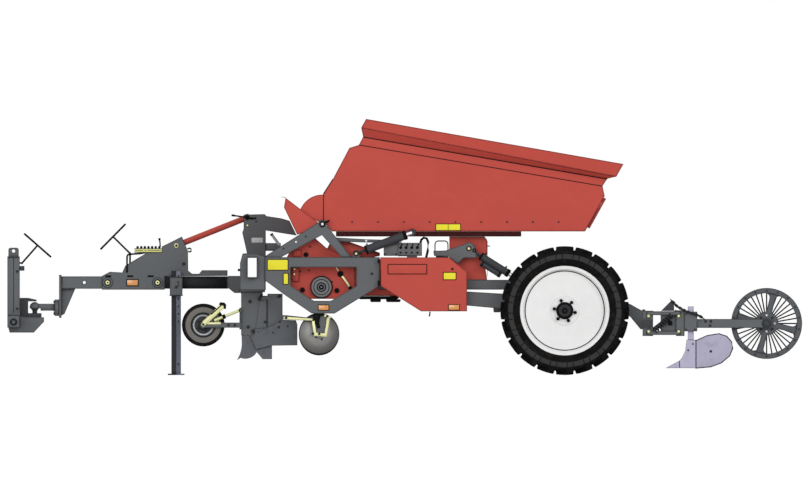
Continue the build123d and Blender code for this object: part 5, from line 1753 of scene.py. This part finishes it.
@dataclass
class Flanks(Assembly):
    """Plates, reflectors, pins and guards on the side frames, supports and covers."""

    frame_out: float = 1440
    cover_out: float = 1490
    support_out: float = 1410

    def build(self) -> None:
        """Adds the pieces of both flanks."""
        plates, blank, orange, dark, bright, zinc = (Shape() for _ in range(6))
        for side in SIDES:
            out = side * ACROSS
            y, cover, stay = side * self.frame_out, side * self.cover_out, side * self.support_out
            for shape, face, low, high in (
                (plates, y, (-1322, 1016), (-1130, 1112)), (plates, y, (-1168, 879), (-1127, 978)),
                (orange, y, (-831, 628), (-736, 673)), (plates, cover, (376, 924), (491, 987)),
                (orange, cover, (426, 630), (524, 677)), (blank, cover, (-158, 979), (209, 1065)),
            ):
                self.framed(shape, dark, side, face, low, high)
            for x, low, high in ((-247, 1081, 1118), (-247, 861, 910)):
                dark.block((x - 14, cover - side * 60, low), (x + 24, cover - side * 2, high))
            dark.block((-256, side * 1402, 868), (-226, side * 1436, 1114))
            dark.disc((460, cover, 1024), out, 11, 8, 18)
            dark.tube([(244, side * 1440, 612), (242, side * 1440, 590), (236, side * 1440, 566)], 7)
            for x, z, size, finish in (
                (-1170, 1222, BoltSize.M8, Finish.BLACKENED), (-1048, 1284, BoltSize.M12, Finish.BRIGHT),
                (-955, 1338, BoltSize.M8, Finish.BLACKENED),
            ):
                self.bolts.add("frame", size, (x, stay, z), out, finish)
            dark.lathe((-795, stay, 1457), out, [(15, 0), (30, 0), (30, 7), (27, 10), (15, 10)], 32)
            bright.disc((-795, side * 1412, 1457), out, 15, 9, 24, 2)
            hook = [(-770, 1462), (-740, 1470), (-722, 1486), (-732, 1500), (-756, 1488), (-776, 1482)]
            dark.prism(hook, stay, stay + side * 9)
            loop = [(292, 1197), (292, 1262), (300, 1284), (318, 1294), (392, 1294), (410, 1284), (417, 1262),
                    (417, 1197)]
            dark.tube([(x, side * 1330, z) for x, z in loop], 6)
            dark.bar((508, side * 1350, 1196), (536, side * 1350, 1228), 11)
            dark.lathe((672, side * 1370, 1203), out, [(9, 0), (20, 0), (20, 6), (9, 6)], 24)
            zinc.disc((619, side * 1370, 1221), out, 15, 11, 24, 2)
            dark.lathe((619, side * 1370, 1221), out, [(15, 0), (24, 0), (24, 7), (15, 7)], 24)
        self.bolts.flank("frame", BoltSize.M12, [(-317, 978)], self.frame_out)
        plates.piece("yellow_plates", Finish.YELLOW, "frame", bevel=1)
        blank.piece("cover_plates", Finish.PLATE_RED, "frame", bevel=1)
        orange.piece("orange_reflectors", Finish.ORANGE_REFLEX, "frame", bevel=1.5)
        dark.piece("flank_fittings", Finish.PLASTIC_BLACK, "frame", bevel=0.8)
        bright.piece("flank_pins", Finish.BRIGHT, "frame")
        zinc.piece("lift_pin_heads", Finish.ZINC, "frame")
        self.tip_link()
        log.info("flanks")

    def framed(self, shape: Shape, dark: Shape, side: int, face: float, low: Flat, high: Flat) -> None:
        """Plate in a black frame.

        Args:
            shape: the shape that takes the plate.
            dark: the shape that takes the frame.
            side: the flank.
            face: y of the face that it stands on.
            low: lower front corner as (x, z).
            high: upper rear corner as (x, z).
        """
        (x, z), (far, top) = low, high
        outline = [(x, z), (far, z), (far, top), (x, top)]
        wider = [(x - 7, z - 7), (far + 7, z - 7), (far + 7, top + 7), (x - 7, top + 7)]
        dark.prism(wider, face, face + side * 4)
        shape.prism(outline, face + side * 3, face + side * 8)

    def tip_link(self) -> None:
        """Link bar beside the left tipping cylinder."""
        outline = [(-690, 1290), (-372, 1279), (-45, 1272), (-28, 1284), (-45, 1302), (-372, 1311),
                   (-690, 1329)]
        bar = Shape().prism(outline, -1354, -1344)
        bar.piece("tip_link_bar", Finish.FRAME_GREY, "frame", bevel=1)
        for x, z in ((-372, 1296), (-42, 1288)):
            self.bolts.add("frame", BoltSize.M12, (x, -1354, z), -ACROSS, Finish.BRIGHT)


@dataclass
class Hopper(Assembly):
    """Bolts, reflectors, floor belt and stiffeners of the hopper."""

    half: float = 1360

    def build(self) -> None:
        """Adds the pieces that ride on the hopper."""
        lenses, ribs, rear, trims, dark = Shape(), Shape(), Shape(), Shape(), Shape()
        self.bolts.flank("hopper", BoltSize.M8, [(-507 + 249 * n, 1477) for n in range(9)], self.half)
        for side in SIDES:
            y = side * self.half
            for x in (303, 421):
                dark.prism([(x - 6, 1392), (x + 120, 1392), (x + 120, 1461), (x - 6, 1461)], y, y + side * 4)
                lenses.prism([(x, 1398), (x + 114, 1398), (x + 114, 1455), (x, 1455)], y + side * 3,
                             y + side * 8)
            trims.tube([(-402 + 2356 * k / 6, side * 1361, 2296 - 406 * k / 6) for k in range(7)], 4, 8)
            trims.tube([(-443 + 2352 * k / 6, side * 1361, 2221 - 398 * k / 6) for k in range(7)], 4, 8)
            front = [(-784, 1492), (-784, 1620), (-784, 1753), (-693, 1893)]
            trims.tube([(x, side * 1361, z) for x, z in front], 4, 8)
            rear.lathe((1875, side * 1180, 1630), Vector((0.87, 0, -0.49)), [
                (0, 0), (42, 0), (42, 5), (38, 9), (0, 9)], 32, False)
        for y in (-1000, -500, 0, 500, 1000):
            ribs.loft([
                [(x - 2, y - 50, z), (x + 22, y - 32, z - 11), (x + 22, y + 32, z - 11), (x - 2, y + 50, z)]
                for x, z in ((1762, 1425), (1842, 1569), (1922, 1712))])
        dark.piece("hopper_reflector_frames", Finish.PLASTIC_BLACK, "hopper")
        lenses.piece("hopper_reflectors", Finish.YELLOW, "hopper", bevel=1.5)
        ribs.piece("hopper_ribs", Finish.HOPPER_RED, "hopper", bevel=2)
        rear.piece("rear_reflectors", Finish.RED_REFLEX, "hopper")
        trims.piece("rim_trims", Finish.DARK_RED, "hopper")
        floor = Shape().block((-690, -1340, 1392.5), (1725, 1340, 1397))
        floor.piece("floor_belt", Finish.BELT, "hopper")
        slat = Shape().prism([(-680, 1397), (-650, 1397), (-656, 1409), (-674, 1409)], -1330, 1330)
        values = {"Count": 17, "Step": (0.146, 0, 0)}
        repeat(line_repeater(Finish.BELT), slat, "floor_slats", values, Finish.BELT, "hopper")
        log.info("hopper")


@dataclass
class Cylinders(Assembly):
    """Glands, ports and pin heads of the tipping and lift cylinders."""

    tip_low: Flat = (-469, 1172)
    tip_high: Flat = (70, 1374)
    lift_high: Flat = (619, 1221)
    lift_low: Flat = (1160, 880)
    frame_out: float = 1440

    def build(self) -> None:
        """Adds the fittings of all four cylinders."""
        for body, low, high, y, radius, length, neck in (
            ("tip_barrels", self.tip_low, self.tip_high, 1410, 40, 520, 94),
            ("lift_barrels", self.lift_high, self.lift_low, 1335, 35, 460, 130),
        ):
            rings, ports = Shape(), Shape()
            for side in SIDES:
                start = Vector((low[0], side * y, low[1]))
                way = (Vector((high[0], side * y, high[1])) - start).normalized()
                up = way.cross(ACROSS) if way.cross(ACROSS).z > 0 else -way.cross(ACROSS)
                gland = start + way * (length - 34)
                inner = 22.4 if body == "tip_barrels" else 20.4
                near, far = radius + 0.1, radius + 4
                rings.lathe(gland, way, [(near, 0), (far, 2), (far, 28), (radius + 1, 34), (inner, 35),
                                         (inner, 34)], 32)
                rings.lathe(start + way * neck, way, [(near, 2), (far, 4), (far, 20), (near, 22)], 32)
                for along in (neck + 34, length - 60):
                    foot = start + way * along + up * (radius - 2)
                    ports.bar(foot, foot + up * 18, 10, 6)
                if body == "lift_barrels":
                    for along in (182, 372):
                        spot = start - up * 56 + way * along
                        rings.lathe(spot, way, [(26.1, 0), (29, 2), (29, 14), (26.1, 16)], 28)
            rings.piece(f"{body}_glands", Finish.PLASTIC_BLACK, body)
            ports.piece(f"{body}_ports", Finish.BLACKENED, body)
        pins, zinc = Shape(), Shape()
        for side in SIDES:
            out = side * ACROSS
            foot = (self.tip_low[0], side * self.frame_out, self.tip_low[1])
            pins.lathe(foot, out, [(14, 0), (24, 0), (24, 7), (14, 7)], 28)
            zinc.disc(foot, out, 14, 9, 20, 2)
            pins.disc((-422, side * self.frame_out, 1172), out, 8, 6, 14)
        self.bolts.flank("wheel_arms", BoltSize.M20, [self.lift_low, (240, 725), (1544, 622)], 1370)
        eyes = Shape()
        for side in SIDES:
            foot = (self.tip_high[0], side * 1394, self.tip_high[1])
            eyes.lathe(foot, side * ACROSS, [(0, 0), (35.5, 0), (35.5, 32), (0, 32)], 32, False)
        eyes.piece("tip_rod_eyes", Finish.DARK_GREY, "tip_rods")
        pins.piece("cylinder_pins", Finish.PLASTIC_BLACK, "frame")
        zinc.piece("cylinder_pin_heads", Finish.ZINC, "frame")
        feet = Shape()
        foot = [(862, 605), (918, 605), (925, 618), (925, 652), (855, 662), (855, 618)]
        for side in SIDES:
            feet.prism(foot, side * 1312, side * 1362)
        feet.piece("arm_bump_feet", Finish.DARK_GREY, "wheel_arms", bevel=2)
        log.info("cylinders")


@dataclass
class RearTools(Assembly):
    """Springs, chains, bolts and bearings of the ridging bodies and the cage rollers."""

    roller: Flat = (3492, 498)
    studs: float = 317
    hub_studs: float = 78
    wing_root: float = 2806
    wing_yaw: float = 20

    # the wing's outer edge as (x, z)
    wing_rim = (
        (2806, 330), (2919, 381), (3033, 399), (3108, 374), (3155, 320), (3166, 260), (3135, 185),
        (3054, 117), (2953, 80), (2806, 67),
    )

    def build(self) -> None:
        """Adds the pieces behind the wheels."""
        coils = coil_repeater(Finish.BLACKENED)
        low, high = Vector((2414, 0, 428)), Vector((2583, 0, 586))
        way = high - low
        places = [(low + ACROSS * (place + shift), way) for place in FURROWS for shift in (-46, 46)]
        springs = marks("ridger_springs", places)
        values = {"Turns": 8.0, "Coil radius": 0.022, "Wire radius": 0.0075, "Length": way.length * MM}
        coils.run(springs, values)
        settle(springs, Finish.BLACKENED, "frame", 60)
        chains = chain_repeater(Finish.BLACKENED)
        stays, caps, dark, ends = Shape(), Shape(), Shape(), Shape()
        for number, place in enumerate(FURROWS):
            self.chain(chains, number, place)
            for y in (-56, 48):
                stays.prism([(2472, 619), (2573, 720), (2598, 716), (2600, 619)], place + y, place + y + 8)
            self.clamp(place, dark)
            for side in SIDES:
                caps.lathe((self.roller[0], place + side * 25, self.roller[1]), side * ACROSS, [
                    (20.4, 0), (46, 0), (46, 8), (42, 11), (24, 11), (20.4, 8)], 32)
            self.bolts.add("frame", BoltSize.M16, (2306, place, 621), Vector((0, 0, 1)))
        stays.piece("ridger_stays", Finish.DARK_GREY, "frame", bevel=1)
        caps.piece("roller_bearings", Finish.DARK_GREY, "frame")
        dark.piece("ridger_fittings", Finish.PLASTIC_BLACK, "frame", bevel=0.8)
        for side in SIDES:
            ends.disc((self.roller[0], side * 1525, self.roller[1]), side * ACROSS, 30, 20, 28, 4)
            ends.block((2308, side * 1560, 459), (2384, side * 1566, 535))
        ends.piece("toolbar_ends", Finish.DARK_GREY, "frame", bevel=1)
        self.roller_bolts()
        log.info("rear tools")

    def chain(self, chains: Repeater, number: int, place: float) -> None:
        """Chain that holds one ridging body up.

        Args:
            chains: the tree that lays the links.
            number: the furrow's number.
            place: the furrow's y.
        """
        sag = [(2578, 716), (2624, 668), (2676, 634), (2740, 606), (2806, 586), (2852, 566), (2874, 552)]
        points = [Vector((x, place - 60, z)) * MM for x, z in sag]
        data = bpy.data.meshes.new("path")
        data.from_pydata(points, [(k, k + 1) for k in range(len(points) - 1)], [])
        made = put(f"chain_{number}", data)
        chains.run(made, {"Links": 17, "Wire radius": 0.006})
        settle(made, Finish.BLACKENED, "frame", 60)

    def clamp(self, place: float, dark: Shape) -> None:
        """Bolts, adjusting knob and small marks of one ridging body's linkage and clamp.

        Args:
            place: y of its furrow.
            dark: the shape that takes the black pieces.
        """
        for size, spots, out, finish in (
            (BoltSize.M16, [(2353, 421), (2353, 570), (2644, 421), (2644, 570)], 47, Finish.ZINC),
            (BoltSize.M8, [(2716, 440), (2716, 590), (2800, 440), (2800, 590)], 45, Finish.BLACKENED),
            (BoltSize.M12, [(2903, 518), (2947, 478), (2955, 518)], 25, Finish.BLACKENED),
            (BoltSize.M8, [(2735, 240), (2780, 300)], 22, Finish.BLACKENED),
        ):
            self.bolts.flank("frame", size, spots, out, finish, place)
        lean = math.tan(math.radians(self.wing_yaw))
        for side in SIDES:
            dark.disc((2560, place + side * 46, 502), side * ACROSS, 25, 14, 20, 4)
            face = place + side * 22
            dark.prism([(2649, 69), (2656, 69), (2653, 138), (2646, 136)], face, face + side * 2)
            dark.prism([(2807, 68), (2815, 68), (2815, 338), (2807, 338)], face, face + side * 5)
            edge = [(x, place + side * (18 + (x - self.wing_root) * lean), z) for x, z in self.wing_rim]
            dark.tube(edge, 5.5, 8)
            across = Vector((-lean, side, 0)).normalized()
            spot = Vector((2955, place + side * 72.2, 229)) + across * 4
            self.bolts.add("frame", BoltSize.M12, spot, across)

    def ring(self, radius: float, count: int, turn: float) -> list[Flat]:
        """Places round the rollers' axle.

        Args:
            radius: their distance from the axle.
            count: how many.
            turn: where the first one stands, in steps.

        Returns:
            Each place as (x, z).
        """
        angles = [2 * math.pi * (step + turn) / count for step in range(count)]
        x, z = self.roller
        return [(x + radius * math.cos(angle), z + radius * math.sin(angle)) for angle in angles]

    def roller_bolts(self) -> None:
        """Studs round the rims and hubs of the cage rollers."""
        for number, row in enumerate(ROWS, start=1):
            body = f"cage_roller_{number}"
            hub = self.ring(self.hub_studs, 8, 0)
            self.bolts.flank(body, BoltSize.M8, self.ring(self.studs, 18, 0.5), 330, middle=row)
            self.bolts.flank(body, BoltSize.M12, hub[::2], 320, Finish.BRIGHT, row)
            self.bolts.flank(body, BoltSize.M12, hub[1::2], 320, middle=row)


@dataclass
class Hydraulics(Assembly):
    """Lid, valve block and hoses of the hydraulic box, doors of the rear housing."""

    face: float = -1360

    def build(self) -> None:
        """Adds the pieces."""
        lid = Shape().prism([(-204, 1154), (-72, 1154), (-72, 1272), (-204, 1272)], self.face, self.face + 5)
        lid.prism([(-196, 1254), (-80, 1254), (-80, 1262), (-196, 1262)], self.face - 2, self.face + 1)
        lid.piece("box_lid", Finish.BOX_GREY, "frame", bevel=1)
        valves, hoses = Shape(), Shape()
        valves.prism([(-63, 1154), (162, 1154), (162, 1262), (-63, 1262)], self.face, self.face + 5)
        for number in range(4):
            x = -40 + 54 * number
            hoses.disc((x, self.face, 1230), -ACROSS, 14, 9, 12)
            lead = [(x, -1364, 1230), (x + 4, -1372, 1244), (x + 10, -1370, 1258), (x + 12, -1350, 1268)]
            hoses.tube(lead, 5)
            hoses.disc((x, self.face, 1182), -ACROSS, 10, 8, 6)
        valves.piece("valve_block", Finish.BOX_GREY, "frame", bevel=1)
        for x, z in ((-192, 1166), (-84, 1166)):
            self.bolts.add("frame", BoltSize.M8, (x, self.face, z), -ACROSS)
        for shift in (0, 22):
            run = ((150, -1250, 1270), (160, -1250, 1306), (184, -1250, 1326), (212, -1250, 1318),
                   (226, -1250, 1284), (222, -1250, 1200), (206, -1252, 1130), (204, -1252, 1040))
            hoses.tube([(x, y - shift, z) for x, y, z in run], 12)
        hoses.piece("box_hoses", Finish.PLASTIC_BLACK, "frame")
        panels, handles = Shape(), Shape()
        for low in (-1240, -620, 20, 640):
            panels.prism([(795, 950), (795, 1296), (799, 1290), (799, 956)], low, low + 600)
        for y in (-1080, -440, 200, 840):
            handles.tube([(796, y, 1245), (816, y, 1245), (818, y + 8, 1245), (818, y + 92, 1245),
                          (816, y + 100, 1245), (796, y + 100, 1245)], 5)
        panels.piece("housing_doors", Finish.RED, "frame", bevel=1.5)
        handles.piece("door_handles", Finish.PLASTIC_BLACK, "frame")
        log.info("hydraulics and housing")


class Studio:
    """Floor, backdrop, lamps and camera."""

    # width of the picture and its middle as (x, z), in metres, and the sky's strength on the machine
    width = 7.807
    middle = (-0.0024, 1.207)
    glow = 0.58

    def build(self) -> None:
        """Makes the stage round the machine."""
        self.floor()
        self.lamps()
        self.camera()
        bpy.context.scene.view_settings.view_transform = "Standard"
        log.info("studio")

    def floor(self) -> None:
        """A plain pale floor, shown nearly white to the camera."""
        data = bpy.data.meshes.new("floor")
        data.from_pydata([(-30, -30, 0), (30, -30, 0), (30, 30, 0), (-30, 30, 0)], [], [(0, 1, 2, 3)])
        sheet = Sheet("floor_pale")
        cloud = sheet.noise(0.6, 3)
        tone = sheet.blend(cloud.ramp(0.3, 0.7), srgb(232, 232, 231), srgb(238, 238, 237))
        data.materials.append(sheet.close(Base_Color=tone, Roughness=0.9 + cloud * 0.05))
        put("floor", data)

    def lamps(self) -> None:
        """Three soft suns and an even sky that the camera sees as white."""
        for name, strength, spread, turn in (
            ("key", 0.65, 25, (66, 0, 38)),
            ("fill", 0.86, 40, (80, 0, -18)),
            ("rim", 0.5, 40, (55, 0, 160)),
        ):
            lamp = bpy.data.lights.new(name, "SUN")
            lamp.energy = strength
            lamp.angle = math.radians(spread)
            put(name, lamp).rotation_euler = [math.radians(part) for part in turn]
        world = bpy.data.worlds.new("sky")
        bpy.context.scene.world = world
        world.use_nodes = True
        tree = world.node_tree
        tree.nodes.clear()
        path = add_node(tree, "ShaderNodeLightPath").outputs
        values = {0: path["Is Camera Ray"], 1: path["Is Glossy Ray"]}
        seen = add_node(tree, "ShaderNodeMath", values, operation="MAXIMUM")
        values = {0: seen.outputs[0], 1: path["Is Transmission Ray"]}
        every = add_node(tree, "ShaderNodeMath", values, operation="MAXIMUM")
        strength = add_node(tree, "ShaderNodeMapRange", {0: every.outputs[0], 3: self.glow, 4: 1.0})
        values = {"Strength": strength.outputs[0], "Color": (1, 1, 1, 1)}
        sky = add_node(tree, "ShaderNodeBackground", values)
        add_node(tree, "ShaderNodeOutputWorld", {0: sky.outputs[0]})

    def camera(self) -> None:
        """The drawing's side view, square on and without perspective."""
        data = bpy.data.cameras.new("side_view")
        data.type = "ORTHO"
        data.ortho_scale = self.width
        data.clip_end = 100
        made = put("side_view", data)
        made.location = (self.middle[0], -20, self.middle[1])
        made.rotation_euler = (math.radians(90), 0, 0)
        bpy.context.scene.camera = made


def main() -> None:
    """Builds every sub-assembly in order and reports each."""
    logging.basicConfig(level=logging.INFO, format="%(name)s: %(message)s")
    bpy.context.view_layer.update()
    CadFinishes().dress()
    bolts = Fasteners()
    for assembly in (
        MainWheels, GaugeWheels, ClosingDiscs, Headstock, Drawbar, Tower, RowUnits, Flanks, Hopper, Cylinders,
        RearTools, Hydraulics,
    ):
        assembly(bolts).build()
    bolts.build()
    Studio().build()


if __name__ == "__main__":
    main()
